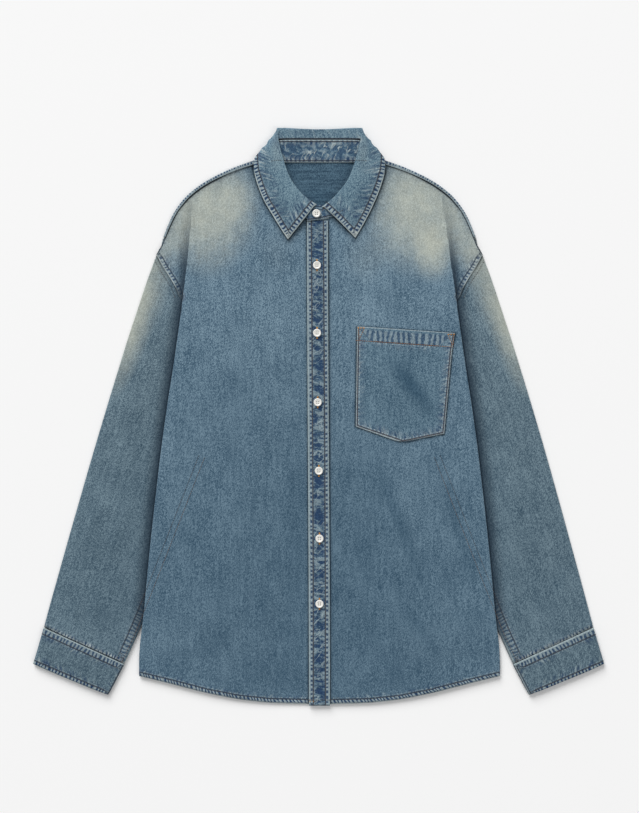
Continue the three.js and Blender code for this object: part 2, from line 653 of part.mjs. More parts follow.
// Lines across the sleeve, the first along the armhole and the last along the cuff seam
function sleeve(side) {
  const lines = [];
  for (let i = 0; i < SLEEVE_RINGS; i += 1) {
    const t = i / (SLEEVE_RINGS - 1);
    const outer = along(SLEEVE_OUTER, t);
    const inner = along(SLEEVE_INNER, t);
    const start = ARMHOLE[0];
    const end = ARMHOLE[ARMHOLE.length - 1];
    const curve = (1 - t) ** 3;
    const line = [];
    for (let j = 0; j <= SLEEVE_SPANS; j += 1) {
      const u = j / SLEEVE_SPANS;
      const seam = along(ARMHOLE, u);
      const chord = between(start, end, u);
      const bow = { out: seam.out - chord.out, y: seam.y - chord.y };
      const straight = between(outer, inner, u);
      line.push({ out: straight.out + curve * bow.out, y: straight.y + curve * bow.y });
    }
    lines.push(line);
  }
  return flatTube(side, lines, sleeveHeight, CLOTH);
}

function cuff(side) {
  const lines = [];
  for (let i = 0; i < CUFF_RINGS; i += 1) {
    const t = i / (CUFF_RINGS - 1);
    const drop = i === CUFF_RINGS - 1 ? CUFF_CORNER_DROP : 0;
    const line = [];
    for (let j = 0; j <= CUFF_SPANS; j += 1) {
      const u = j / CUFF_SPANS;
      const corner = j === 0 || j === CUFF_SPANS ? drop : 0;
      const seam = between(CUFF.seamOuter, CUFF.seamInner, u);
      const spot = between(seam, between(CUFF.freeOuter, CUFF.freeInner, u), t);
      line.push({ out: spot.out, y: spot.y + corner });
    }
    lines.push(line);
  }
  return flatTube(side, lines, () => CUFF_HEIGHT, CUFF_WALL);
}

// Every station of the collar, from the right front round the back to the left front
function collarStations() {
  const on = (side) => (row) => {
    const turned = Object.entries(row).map(([key, [out, y, z]]) => [key, place(side, out, y, z)]);
    return Object.fromEntries(turned);
  };
  const right = [...COLLAR_RIGHT_FRONT, ...COLLAR_SIDE].map(on(-1));
  const left = [...COLLAR_LEFT_FRONT, ...COLLAR_SIDE].map(on(1));
  return [...right, on(1)(COLLAR_BACK), ...left.reverse()];
}

function collarStand() {
  const ends = (row, side) => ({ neck: place(side, ...row.neck), seam: place(side, ...row.seam) });
  const stations = [ends(STAND_UNDER_END, -1), ...collarStations(), ends(STAND_OVER_END, 1)];
  const net = stations.map((row) => {
    const shares = Array.from({ length: STAND_SPANS + 1 }, (_, k) => k / STAND_SPANS);
    return shares.map((t) => row.neck.clone().lerp(row.seam, t));
  });
  return wall(net, CLOTH);
}

// The leaf rises from the stand, rolls over and falls to its outer edge. It keeps further off the stand where
// their seam turns sharply, between the side and the back
function collarLeaf() {
  const cornerOut = Math.max(...COLLAR_SIDE.map((row) => row.seam[0]));
  const net = collarStations().map((row) => {
    const isCorner = Math.abs(row.seam.x) === cornerOut;
    const lead = isCorner ? LEAF_CORNER_START : LEAF_START;
    const start = row.seam.clone().sub(row.neck).setLength(lead).add(row.seam);
    const fall = row.turn.clone().sub(row.roll).setZ(0);
    const side = row.roll.clone().setZ(mix(row.seam.z, row.roll.z, LEAF_RISE_SHARE));
    const crest = row.roll.clone().addScaledVector(fall.normalize(), LEAF_CREST);
    const curve = new THREE.CatmullRomCurve3([start, side, crest, row.turn, row.edge], false, "centripetal");
    return curve.getSpacedPoints(LEAF_SPANS);
  });
  return wall(net, CLOTH);
}

// A closed mesh as a solid that can be cut
function solid(geometry) {
  const bare = geometry.clone();
  bare.deleteAttribute("normal");
  bare.deleteAttribute("uv");
  const merged = mergeVertices(bare, 1e-4);
  const vertProperties = new Float32Array(merged.attributes.position.array);
  const triVerts = new Uint32Array(merged.index.array);
  return new wasm.Manifold(new wasm.Mesh({ numProp: 3, vertProperties, triVerts }));
}

function buttonGeometry() {
  const rim = BUTTON_RADIUS;
  const tall = BUTTON_HEIGHT;
  const profile = [
    [0, 0],
    [rim - 1.1, 0],
    [rim, 0.9],
    [rim - 0.2, tall - 0.5],
    [rim - 1, tall],
    [rim - 2.3, tall - 0.7],
    [0, tall - 0.8],
  ].map(([radius, height]) => new THREE.Vector2(radius, height));
  const disc = new THREE.LatheGeometry(profile, BUTTON_SIDES).rotateX(Math.PI / 2);
  const holes = [-1, 1].flatMap((a) =>
    [-1, 1].map((b) => {
      const drill = new THREE.CylinderGeometry(BUTTON_HOLE, BUTTON_HOLE, 3 * tall, 6).rotateX(Math.PI / 2);
      return drill.translate(a * BUTTON_HOLE_SPREAD, b * BUTTON_HOLE_SPREAD, 0);
    }),
  );
  const cut = solid(disc).subtract(solid(mergeGeometries(holes))).getMesh();
  const geometry = new THREE.BufferGeometry();
  geometry.setAttribute("position", new THREE.BufferAttribute(cut.vertProperties, 3));
  geometry.setIndex(new THREE.BufferAttribute(cut.triVerts, 1));
  return geometry;
}

function buttons() {
  return BUTTONS.map((row, i) => {
    const mesh = named(`button_${i + 1}`, buttonGeometry(), BUTTON_WHITE);
    mesh.position.set(row.x, row.y, row.seat + CLOTH / 2 + SEAM_GAP);
    return mesh;
  });
}

const shirt = new THREE.Group();
shirt.add(
  named("back", backPanel(), DENIM),
  named("yoke", yoke(), DENIM),
  named("front_right", frontPanel(-1), DENIM),
  named("front_left", frontPanel(1), DENIM),
  named("placket", placket(), DENIM_DARK),
  named("pocket", pocket(), DENIM),
  named("collar_stand", collarStand(), DENIM_DARK),
  named("collar_leaf", collarLeaf(), DENIM),
  named("sleeve_right", sleeve(-1), DENIM),
  named("sleeve_left", sleeve(1), DENIM),
  named("cuff_right", cuff(-1), DENIM),
  named("cuff_left", cuff(1), DENIM),
  ...buttons(),
);

// The origin is under the middle of the whole outline
const outline = new THREE.Box3().setFromObject(shirt);
const middle = outline.getCenter(new THREE.Vector3());
shirt.position.set(-middle.x, -middle.y, -outline.min.z);

export default shirt;
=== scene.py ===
"""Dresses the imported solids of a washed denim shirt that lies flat, buttoned, with its front upwards.

Meshes are in metres. Tables, seams and finishes are in millimetres on the plan of the shirt: x to the wearer's
left, y from the hem to the collar.
"""

import logging
import math
from dataclasses import dataclass, field
from enum import Enum
from functools import partial

import bmesh
import bpy
import numpy as np
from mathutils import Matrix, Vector
from mathutils.bvhtree import BVHTree


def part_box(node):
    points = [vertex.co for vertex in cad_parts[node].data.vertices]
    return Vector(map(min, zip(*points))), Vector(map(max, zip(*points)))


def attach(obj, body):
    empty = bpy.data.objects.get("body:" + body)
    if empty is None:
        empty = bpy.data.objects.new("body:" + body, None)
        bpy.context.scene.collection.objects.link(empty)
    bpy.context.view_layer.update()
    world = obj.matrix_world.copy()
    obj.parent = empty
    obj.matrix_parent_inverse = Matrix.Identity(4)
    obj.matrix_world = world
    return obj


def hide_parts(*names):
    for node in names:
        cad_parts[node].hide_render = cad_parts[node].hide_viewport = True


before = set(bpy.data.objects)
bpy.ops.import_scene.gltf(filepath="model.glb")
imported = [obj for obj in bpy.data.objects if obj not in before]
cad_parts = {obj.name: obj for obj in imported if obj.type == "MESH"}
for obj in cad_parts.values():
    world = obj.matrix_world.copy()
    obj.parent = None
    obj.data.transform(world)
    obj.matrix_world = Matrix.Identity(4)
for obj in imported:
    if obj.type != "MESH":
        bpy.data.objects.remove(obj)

LOG = logging.getLogger("denim_shirt")
MM = 0.001
# From the centre line and the middle of the photograph's tables to the middle of the outline
SHIFT = np.array([1.2, 0.3])
RAY_TOP = 0.2
# Points closer than this, in metres, are one corner of a solid, and edges sharper than this stay crisp
SAME_CORNER = 2e-6
SHARP_EDGE = math.radians(50)
# Far from any seam, in mm, how far in the stitches usually run, and the run at which a next seam's count starts
FAR = 400.0
SEW = 6.5
NEXT_SEAM = 1000
# Weights of the strokes, specks and clouds of the yarns
STROKES, SPECKS, CLOUDS = 2.7, 2.1, 0.7
# The colour's place among the outputs of a mix node
COLOUR = 2
# No stitch is laid below this height, in metres. A stitch's middle lies this share of the thread's thickness
# above the cloth, and each is turned by up to this angle at random
LOWEST_CLOTH = 0.0006
SHOWING = 0.35
UNEVEN = 0.07


class Side(Enum):
    """The wearer's right or left, as the sign of x."""

    RIGHT = -1
    LEFT = 1


class Held(Enum):
    """How a piece of cloth is held."""

    LAID = "laid"
    FOLDED = "folded"


def linear(code: str) -> tuple[float, float, float, float]:
    """Turns an sRGB hex colour to linear.

    Args:
        code: the colour as "#rrggbb".

    Returns:
        The linear colour with an alpha of 1.
    """
    parts = [int(code[i : i + 2], 16) / 255 for i in (1, 3, 5)]
    return (*[c / 12.92 if c <= 0.04045 else ((c + 0.055) / 1.055) ** 2.4 for c in parts], 1.0)


def smooth(start: float, end: float, value: np.ndarray) -> np.ndarray:
    """Rises softly from 0 to 1 between two values.

    Args:
        start: the value at 0.
        end: the value at 1.
        value: the values to read at.

    Returns:
        The share from 0 to 1 at each value.
    """
    t = np.clip((value - start) / (end - start), 0.0, 1.0)
    return t * t * (3 - 2 * t)


class Kind(Enum):
    """A kind of node: Blender's name of it, and the settings and inputs that it has here."""

    ADD = ("ShaderNodeMath", {"operation": "ADD"})
    SUBTRACT = ("ShaderNodeMath", {"operation": "SUBTRACT"})
    MULTIPLY = ("ShaderNodeMath", {"operation": "MULTIPLY"})
    MULTIPLY_ADD = ("ShaderNodeMath", {"operation": "MULTIPLY_ADD"})
    DIVIDE = ("ShaderNodeMath", {"operation": "DIVIDE"})
    SINE = ("ShaderNodeMath", {"operation": "SINE"})
    ABSOLUTE = ("ShaderNodeMath", {"operation": "ABSOLUTE"})
    RANGE = ("ShaderNodeMapRange", {})
    SOFT = ("ShaderNodeMapRange", {"interpolation_type": "SMOOTHSTEP"})
    NOISE = ("ShaderNodeTexNoise", {"Scale": 1.0})
    STRETCH = ("ShaderNodeMapping", {"vector_type": "TEXTURE"})
    SCALE = ("ShaderNodeVectorMath", {"operation": "SCALE"})
    JOIN = ("ShaderNodeCombineXYZ", {})
    PARTS = ("ShaderNodeSeparateXYZ", {})
    BLEND = ("ShaderNodeMix", {"data_type": "RGBA"})
    STORED = ("ShaderNodeAttribute", {})
    PLACE = ("ShaderNodeTexCoord", {})
    BUMP = ("ShaderNodeBump", {})
    GIVEN = ("NodeGroupInput", {})
    RESULT = ("NodeGroupOutput", {})
    CURVE = ("GeometryNodeMeshToCurve", {})
    PITCHED = ("GeometryNodeCurveToPoints", {"mode": "LENGTH"})
    BALL = ("GeometryNodeMeshUVSphere", {})
    SIZED = ("GeometryNodeTransform", {})
    RANDOM = ("FunctionNodeRandomValue", {"data_type": "FLOAT_VECTOR"})
    TURN = ("FunctionNodeRotateRotation", {})
    LAID_OUT = ("GeometryNodeInstanceOnPoints", {})
    REAL = ("GeometryNodeRealizeInstances", {})
    DRESSED = ("GeometryNodeSetMaterial", {})


def add_node(tree: bpy.types.NodeTree, kind: Kind, *inputs, **options) -> bpy.types.Node:
    """Adds one node with its settings and links.

    Args:
        tree: the tree that takes it.
        kind: the kind of node.
        inputs: what its inputs in use take, in their order: a value, a socket, or a node, which is linked by
            its first output in use.
        options: its settings by their names, and further inputs by theirs, which start with a capital.

    Returns:
        The new node.
    """
    name, usual = kind.value
    node = tree.nodes.new(name)
    options = {**usual, **options}
    for key in filter(str.islower, options):
        setattr(node, key, options[key])
    sockets = [socket for socket in node.inputs if socket.enabled]
    named = {socket.name: socket for socket in sockets}
    taken = list(zip(sockets, inputs)) + [(named[key], options[key]) for key in options if not key.islower()]
    for socket, value in taken:
        if isinstance(value, bpy.types.Node):
            value = next(output for output in value.outputs if output.enabled)
        if isinstance(value, bpy.types.NodeSocket):
            tree.links.new(value, socket)
        else:
            socket.default_value = value
    return node


def start_material(name: str, values: dict[str, float]) -> tuple[bpy.types.Material, bpy.types.Node]:
    """Starts a material on Blender's usual shader.

    Args:
        name: the material's name.
        values: the shader's uniform values, by its inputs' names.

    Returns:
        The material and its shader.
    """
    made = bpy.data.materials.new(name)
    made.use_nodes = True
    shader = made.node_tree.nodes["Principled BSDF"]
    for key, value in values.items():
        shader.inputs[key].default_value = value
    return made, shader


def add_object(name: str, data: bpy.types.ID) -> bpy.types.Object:
    """Adds an object to the scene, at the origin, and returns it."""
    made = bpy.data.objects.new(name, data)
    bpy.context.scene.collection.objects.link(made)
    return made


def finished(piece: bpy.types.Object) -> bpy.types.Mesh:
    """Returns a plain mesh of an object as its modifiers leave it."""
    bpy.context.view_layer.update()
    return bpy.data.meshes.new_from_object(piece.evaluated_get(bpy.context.evaluated_depsgraph_get()))


@dataclass(frozen=True)
class Seam:
    """A sewn or worn edge of a piece, which its puckers, wear and stitches follow.

    Args:
        points: the edge on the plan, in mm.
        sew: how far inside the edge its stitching runs.
        pucker: how strongly the cloth beside it is puckered and worn.
        slant: how far the puckers lean along the edge for each mm away from it.
        thread: the thread of its stitches, or None where no stitches show.
        twin: the distance to a second row of stitches, or 0.
    """

    points: tuple[tuple[float, float], ...]
    sew: float = 6.5
    pucker: float = 1.0
    slant: float = 0.0
    thread: str | None = "slate"
    twin: float = 0.0

    def line(self) -> np.ndarray:
        """Returns the edge's points on the shifted plan."""
        return np.array(self.points, float) + SHIFT

    def measure(self, spots: np.ndarray) -> tuple[np.ndarray, np.ndarray]:
        """Measures places against the edge.

        Args:
            spots: places on the plan, in mm.

        Returns:
            The distance of each place from the edge, and how far along the edge it is.
        """
        line = self.line()
        best = np.full(len(spots), 1e9)
        run = np.zeros(len(spots))
        start = 0.0
        for a, b in zip(line[:-1], line[1:]):
            step = b - a
            length = float(np.hypot(*step))
            share = np.clip(((spots - a) @ step) / length**2, 0.0, 1.0)
            away = np.linalg.norm(spots - (a + share[:, None] * step), axis=1)
            nearer = away < best
            best = np.where(nearer, away, best)
            run = np.where(nearer, start + share * length, run)
            start += length
        return best, run

    def inset(self, distance: float, towards: np.ndarray) -> np.ndarray:
        """Moves the edge inwards.

        Args:
            distance: how far, in mm.
            towards: a place inside the piece, which says which way is in.

        Returns:
            The points of the moved line, mitred at its corners.
        """
        line = self.line()
        steps = np.diff(line, axis=0)
        steps /= np.linalg.norm(steps, axis=1)[:, None]
        across = np.stack([-steps[:, 1], steps[:, 0]], axis=1)
        middle = len(across) // 2
        if (towards - line[middle]) @ across[middle] < 0:
            across = -across
        moved = [line[0] + distance * across[0]]
        for before, after, spot in zip(across[:-1], across[1:], line[1:-1]):
            mitre = (before + after) / max(0.4, 1.0 + float(before @ after))
            moved.append(spot + distance * mitre)
        moved.append(line[-1] + distance * across[-1])
        return np.array(moved)


@dataclass(frozen=True)
class Patch:
    """A soft patch of bleaching, or of deeper blue where its amount is below 0. Some patches are painted shade and
    painted highlight along folds.
    """

    x: float
    y: float
    wide: float
    high: float
    amount: float
    turn: float = 0.0

    def at(self, spots: np.ndarray) -> np.ndarray:
        """Returns how strongly the patch tints each place on the plan."""
        turn = math.radians(self.turn)
        away = spots - (np.array([self.x, self.y]) + SHIFT)
        u = (away[:, 0] * math.cos(turn) + away[:, 1] * math.sin(turn)) / self.wide
        v = (away[:, 1] * math.cos(turn) - away[:, 0] * math.sin(turn)) / self.high
        return self.amount * (1 - smooth(0.1, 1.3, np.hypot(u, v)))


@dataclass(frozen=True)
class PaintedShadeEdge:
    """The edge of a layer that lies on a piece, with a painted shadow line and wider painted shade beside it.

    Args:
        points: the edge on the plan, in mm.
        dark: how dark the narrow painted shadow line right beside it is.
        reach: how far the wider shade runs.
        shade: how dark the wider painted shade is at the edge.
        outer: true where only the side away from the centre line is shaded.
        grows: the heights where the shade is faint and where it is full, or None where it is full all along.
    """

    points: tuple[tuple[float, float], ...]
    dark: float = 0.8
    reach: float = 8.0
    shade: float = 0.0
    outer: bool = False
    grows: tuple[float, float] | None = None

    def shading(self, spots: np.ndarray, away: np.ndarray) -> np.ndarray:
        """Returns how dark the wide painted shade is at each place, from the distances to the edge."""
        shade = self.shade * (1 - smooth(0, self.reach, away))
        if self.grows is None:
            return shade
        faint, full = self.grows
        return shade * (0.3 + 0.7 * smooth(0.0, 1.0, (spots[:, 1] - faint) / (full - faint)))

    def away(self, spots: np.ndarray) -> np.ndarray:
        """Returns the distance of each place on the plan from the edge."""
        away = Seam(self.points).measure(spots)[0]
        if not self.outer:
            return away
        line = Seam(self.points).line()
        order = np.argsort(line[:, 1])
        at_height = np.interp(spots[:, 1], line[order, 1], np.abs(line[order, 0]))
        return np.where(np.abs(spots[:, 0]) > at_height, away, FAR)


@dataclass(frozen=True)
class Crease:
    """A soft ridge in the cloth, from one place to another, that fades out at both ends."""

    start: tuple[float, float]
    end: tuple[float, float]
    width: float
    rise: float

    def at(self, spots: np.ndarray) -> np.ndarray:
        """Returns how high the ridge lifts the cloth at each place, in mm."""
        a = np.array(self.start) + SHIFT
        step = np.array(self.end) + SHIFT - a
        length = float(np.hypot(*step))
        step /= length
        forward = (spots - a) @ step
        aside = (spots - a) @ np.array([-step[1], step[0]])
        bend = aside + 0.06 * length * np.sin(math.pi * np.clip(forward / length, 0, 1))
        fade = smooth(-0.1 * length, 0.35 * length, forward) * smooth(1.1 * length, 0.65 * length, forward)
        return self.rise * fade * np.exp(-((bend / self.width) ** 2))


@dataclass(frozen=True)
class Denim:
    """Washed indigo cotton twill. The blue warp is worn back to the pale weft, so the eye sees a salt-and-pepper
    grain of short slanting strokes, paler on edges and ridges and navy in the puckers. Shade is painted beside each
    layer that lies on it and in the sunk rows of stitches.

    Args:
        name: the material's name.
        warp: the deeper of the two yarn colours.
        weft: the paler one.
        bleached: what the cloth fades to.
        deep: the unworn dye in the puckers.
        worn: the pale yarns of the ridges.
        grain_turn: the turn of the warp from straight up the shirt, in degrees.
        grain: strength of the grain.
        pucker_pitch: spacing of the puckers along a seam.
        reach: how far the puckers run on beyond the stitches.
        blotch: how strongly the whole piece is blotched between its seams.
        blotch_size: how wide and how high the blotches are.
        wisps: strength of the thin pale lines that run across the blotches.
        slub: strength of the long uneven yarns.
        slub_across: true where the slubs run across, as inside the yoke.
        scallop: how strongly the puckers run on beyond the stitches as rounded waves.
        sunk_line_shade: the painted shade of the sunk line that the stitches lie in.
        ridge: strength of the broken pale ridge beyond the stitches.
        edge_wear: how pale the outer edge is worn.
        dots: from where to where the marks reach across the sewn band.
        band_wear: how pale the sewn band is all along.
    """

    name: str
    warp: str = "#3d5c73"
    weft: str = "#7991a0"
    bleached: str = "#b4b9ae"
    deep: str = "#1f3a5c"
    worn: str = "#aebbbd"
    grain_turn: float = 0.0
    grain: float = 1.0
    pucker_pitch: float = 5.0
    reach: float = 8.0
    blotch: float = 0.0
    blotch_size: tuple[float, float] = (9.0, 5.0)
    wisps: float = 0.0
    slub: float = 0.7
    slub_across: bool = False
    scallop: float = 0.0
    sunk_line_shade: str = "#2b3a4c"
    ridge: float = 0.6
    edge_wear: float = 1.0
    dots: tuple[float, float] = (0.12, 1.1)
    band_wear: float = 0.0

    def material(self) -> bpy.types.Material:
        """Builds the cloth's material.

        Returns:
            The material, which reads Object coordinates and the attributes "seam", "wash_and_painted_shade" and
            "painted_shade".
        """
        # Cotton: no gloss, and a faint pale nap at grazing angles
        cotton = {"Roughness": 0.92, "Specular IOR Level": 0.12, "Sheen Weight": 0.08, "Sheen Roughness": 0.6}
        made, shader = start_material(self.name, cotton)
        tree = made.node_tree
        add = partial(add_node, tree)
        worn, deep = linear(self.worn), linear(self.deep)
        plan = add(Kind.SCALE, add(Kind.PLACE).outputs["Object"], Scale=1 / MM)
        cut = add(Kind.STRETCH, plan, Rotation=(0, 0, -math.radians(self.grain_turn)))
        numbers = []
        for name in ("seam", "wash_and_painted_shade", "painted_shade"):
            numbers += add(Kind.PARTS, add(Kind.STORED, attribute_name=name).outputs["Vector"]).outputs
        edge, run, sew, pucker, slant, fade, beside, line_shade, shade = numbers

        # Yarns: slanting strokes and a fine grain, drawn about 2 mm wide where the real twill has 0.8 mm, then
        # faint slubs and a broad cloudiness
        slanting = add(Kind.STRETCH, cut, Scale=(1.0, 2.6, 1.0), Rotation=(0, 0, -math.radians(22)))
        strokes = add(Kind.NOISE, slanting, Detail=1.5, Roughness=0.65)
        specks = add(Kind.NOISE, add(Kind.STRETCH, cut, Scale=(0.85, 0.95, 0.85)), Detail=1.0)
        long_yarns = add(Kind.STRETCH, cut, Scale=(40, 3, 40) if self.slub_across else (4, 34, 4))
        clouds = add(Kind.NOISE, plan, Scale=1 / 48, Detail=3.0)
        grain = (self.grain * STROKES, self.grain * SPECKS)
        yarn = add(Kind.MULTIPLY_ADD, strokes, grain[0], add(Kind.MULTIPLY, specks, grain[1]))
        yarn = add(Kind.MULTIPLY_ADD, add(Kind.NOISE, long_yarns), self.slub, yarn)
        yarn = add(Kind.MULTIPLY_ADD, clouds, CLOUDS, yarn)
        share = add(Kind.ADD, yarn, 0.5 - 0.5 * (sum(grain) + self.slub + CLOUDS), use_clamp=True)
        colour = add(Kind.BLEND, share, linear(self.warp), linear(self.weft))

        # Bleaching with a cloudy border, and deeper blue where it is below 0. The same sum also carries painted
        # shade and a painted highlight along folds of the left front
        border = add(Kind.NOISE, plan, Scale=1 / 15, Detail=4.0, Roughness=0.6)
        border = add(Kind.MULTIPLY_ADD, border, 0.5, -0.25)
        border = add(Kind.MULTIPLY, border, add(Kind.SOFT, fade, 0.02, 0.3))
        pale = add(Kind.ADD, fade, border, use_clamp=True)
        colour = add(Kind.BLEND, pale, colour, linear(self.bleached))
        colour = add(Kind.BLEND, add(Kind.MULTIPLY, fade, -1.0, use_clamp=True), colour, linear("#26465c"))

        # Puckers: uneven marks square to the seam, or leaning along it, from the worn edge to the stitches, and
        # weaker ones beyond
        lean = add(Kind.MULTIPLY_ADD, edge, slant, run)
        waver = add(Kind.DIVIDE, lean, 4 * self.pucker_pitch)
        waver = add(Kind.NOISE, add(Kind.JOIN, waver, add(Kind.DIVIDE, edge, 36.0), sew))
        turns = add(Kind.MULTIPLY_ADD, waver, 2.4, add(Kind.DIVIDE, lean, self.pucker_pitch))
        wave = add(Kind.SINE, add(Kind.MULTIPLY, turns, math.tau))
        ragged = add(Kind.JOIN, add(Kind.DIVIDE, lean, 2.6), add(Kind.DIVIDE, edge, 5.0))
        ragged = add(Kind.NOISE, ragged, Roughness=0.6)
        marks = add(Kind.MULTIPLY_ADD, wave, 0.5, add(Kind.MULTIPLY_ADD, ragged, 2.2, -0.6))
        marks = add(Kind.SOFT, marks, 0.2, 0.75)
        hollow = add(Kind.SUBTRACT, 1.0, marks)
        across = add(Kind.DIVIDE, edge, sew)
        first, last = self.dots
        band = add(Kind.MULTIPLY, add(Kind.SOFT, across, first, first + 0.18), pucker)
        band = add(Kind.MULTIPLY, band, add(Kind.SOFT, across, last, last - 0.14))
        from_sew = add(Kind.SUBTRACT, edge, sew)
        past = add(Kind.MULTIPLY, add(Kind.SOFT, across, 0.98, 1.2), pucker)
        past = add(Kind.MULTIPLY, past, add(Kind.SOFT, from_sew, self.reach, 0.1 * self.reach))
        here_and_there = add(Kind.NOISE, plan, Scale=1 / 13, Detail=1.0)
        past = add(Kind.MULTIPLY, past, add(Kind.SOFT, here_and_there, 0.38, 0.6, 0.3, 1.0))
        scratch = add(Kind.DIVIDE, add(Kind.MULTIPLY_ADD, edge, 0.6, run), 2.9)
        scratch = add(Kind.NOISE, add(Kind.JOIN, scratch, add(Kind.DIVIDE, edge, 17.0), sew))
        scratched = add(Kind.MULTIPLY, scratch, past)
        height = add(Kind.MULTIPLY_ADD, scratched, 0.8, add(Kind.MULTIPLY, marks, band))

        # Navy blotches, pale ridges and thin wisps of a piece that is creased all over
        if self.blotch:
            wide, high = self.blotch_size
            spread = add(Kind.STRETCH, plan, Scale=(wide, high, wide), Rotation=(0, 0, -math.radians(12)))
            spread = add(Kind.NOISE, spread, Detail=2.5, Roughness=0.62)
            inside = add(Kind.MULTIPLY, add(Kind.SOFT, across, 0.95, 1.2), self.blotch)
            raised = add(Kind.MULTIPLY, add(Kind.SOFT, spread, 0.52, 0.63), inside)
            sunk = add(Kind.MULTIPLY, add(Kind.SOFT, spread, 0.53, 0.44), inside)
            colour = add(Kind.BLEND, add(Kind.MULTIPLY, raised, 0.55), colour, worn)
            colour = add(Kind.BLEND, add(Kind.MULTIPLY, sunk, 0.88), colour, deep)
            height = add(Kind.MULTIPLY_ADD, add(Kind.SUBTRACT, raised, sunk), 0.6, height)
        if self.wisps:
            wander = add(Kind.STRETCH, plan, Scale=(9, 24, 9), Rotation=(0, 0, -math.radians(40)))
            wander = add(Kind.SUBTRACT, add(Kind.NOISE, wander), 0.5)
            some = add(Kind.SOFT, add(Kind.NOISE, plan, Scale=1 / 16, Detail=1.0), 0.42, 0.56)
            wisp = add(Kind.MULTIPLY, add(Kind.SOFT, add(Kind.ABSOLUTE, wander), 0.03, 0.006), some)
            wisp = add(Kind.MULTIPLY, wisp, self.wisps)
            colour = add(Kind.BLEND, wisp, colour, worn)
            height = add(Kind.ADD, height, wisp)

        # The worn edge, the sunk row of stitches, which is tinted darker as painted shade, and the broken ridge
        # beyond it
        fray = add(Kind.NOISE, add(Kind.JOIN, add(Kind.DIVIDE, run, 3.0)))
        worn_edge = add(Kind.MULTIPLY, add(Kind.SOFT, edge, 1.9, 0.9), add(Kind.SOFT, pucker, 0.0, 0.95))
        worn_edge = add(Kind.MULTIPLY, worn_edge, add(Kind.SOFT, fray, 0.25, 0.55, 0.6, 1.0))
        seamed = add(Kind.SOFT, pucker, 0.02, 0.3)
        groove = add(Kind.MULTIPLY, add(Kind.SOFT, add(Kind.ABSOLUTE, from_sew), 1.2, 0.5), seamed)
        ridge = add(Kind.ABSOLUTE, add(Kind.SUBTRACT, from_sew, 2.0))
        ridge = add(Kind.MULTIPLY, add(Kind.SOFT, ridge, 1.0, 0.3), add(Kind.SOFT, fray, 0.42, 0.66))
        ridge = add(Kind.MULTIPLY, ridge, pucker)
        height = add(Kind.MULTIPLY_ADD, groove, -0.7, height)

        # Each tint in the order that it lies on the cloth, up to the painted shadow line and the wider painted shade
        # beside a layer above
        for where, inside, strength, tint in (
            (add(Kind.SOFT, across, 1.04, 0.94), seamed, self.band_wear, worn),
            (hollow, band, 0.95, deep),
            (marks, band, 0.6, worn),
            (add(Kind.SOFT, scratch, 0.53, 0.41), past, 0.85, deep),
            (add(Kind.SOFT, scratch, 0.57, 0.65), past, 0.75, worn),
            (hollow, past, 0.9 * self.scallop, deep),
            (marks, past, 0.5 * self.scallop, worn),
            (worn_edge, 1.0, self.edge_wear, worn),
            # Painted shade: the sunk row of stitches is tinted darker
            (groove, 1.0, 0.8, linear(self.sunk_line_shade)),
            (ridge, 1.0, self.ridge, worn),
            # Painted shadow: a narrow dark line right beside the edge of a layer above, then a wider soft painted
            # shade
            (add(Kind.SOFT, beside, 2.6, 0.6), line_shade, 1.0, linear("#13202e")),
            (shade, 1.0, 1.0, linear("#1c2d3c")),
        ):
            if strength:
                amount = add(Kind.MULTIPLY, add(Kind.MULTIPLY, where, inside), strength)
                colour = add(Kind.BLEND, amount, colour, tint)
        light = add(Kind.MULTIPLY_ADD, share, 0.38, 0.805)
        colour = add(Kind.BLEND, 1.0, colour, light, blend_type="MULTIPLY")

        # Relief in mm: puckers about 0.4 high, yarns about 0.06
        height = add(Kind.MULTIPLY, height, 0.4)
        height = add(Kind.MULTIPLY_ADD, add(Kind.ADD, strokes, specks), 0.06, height)
        bump = add(Kind.BUMP, Height=height, Distance=MM, Strength=0.8)
        tree.links.new(colour.outputs[COLOUR], shader.inputs["Base Color"])
        tree.links.new(bump.outputs["Normal"], shader.inputs["Normal"])
        return made


@dataclass(frozen=True)
class Resin:
    """Moulded polyester button resin: white, smooth and half glossy, with a soft highlight on its rim."""

    name: str = "polyester_resin_moulded"
    colour: str = "#f3f2ee"
    cloud: str = "#e6e4dd"

    def material(self) -> bpy.types.Material:
        """Builds the buttons' material and returns it."""
        made, shader = start_material(self.name, {"Roughness": 0.3, "IOR": 1.56})
        add = partial(add_node, made.node_tree)
        # Faint clouds about 4 mm across, as in resin that was poured
        clouds = add(Kind.NOISE, add(Kind.PLACE).outputs["Object"], Scale=250.0)
        tint = add(Kind.BLEND, clouds, linear(self.cloud), linear(self.colour))
        made.node_tree.links.new(tint.outputs[COLOUR], shader.inputs["Base Color"])
        return made


@dataclass(frozen=True)
class Thread:
    """Spun polyester sewing thread: a dull twisted strand with lighter and darker plies."""

    name: str
    colour: str
    shade: str

    def material(self) -> bpy.types.Material:
        """Builds the thread's material and returns it."""
        made, shader = start_material(self.name, {"Roughness": 0.75})
        add = partial(add_node, made.node_tree)
        # The tint wanders every 6 mm or so, where the wash has worn the thread
        wander = add(Kind.NOISE, add(Kind.PLACE).outputs["Object"], Scale=160.0, Detail=3.0)
        tint = add(Kind.BLEND, add(Kind.RANGE, wander, 0.35, 0.65), linear(self.shade), linear(self.colour))
        made.node_tree.links.new(tint.outputs[COLOUR], shader.inputs["Base Color"])
        return made


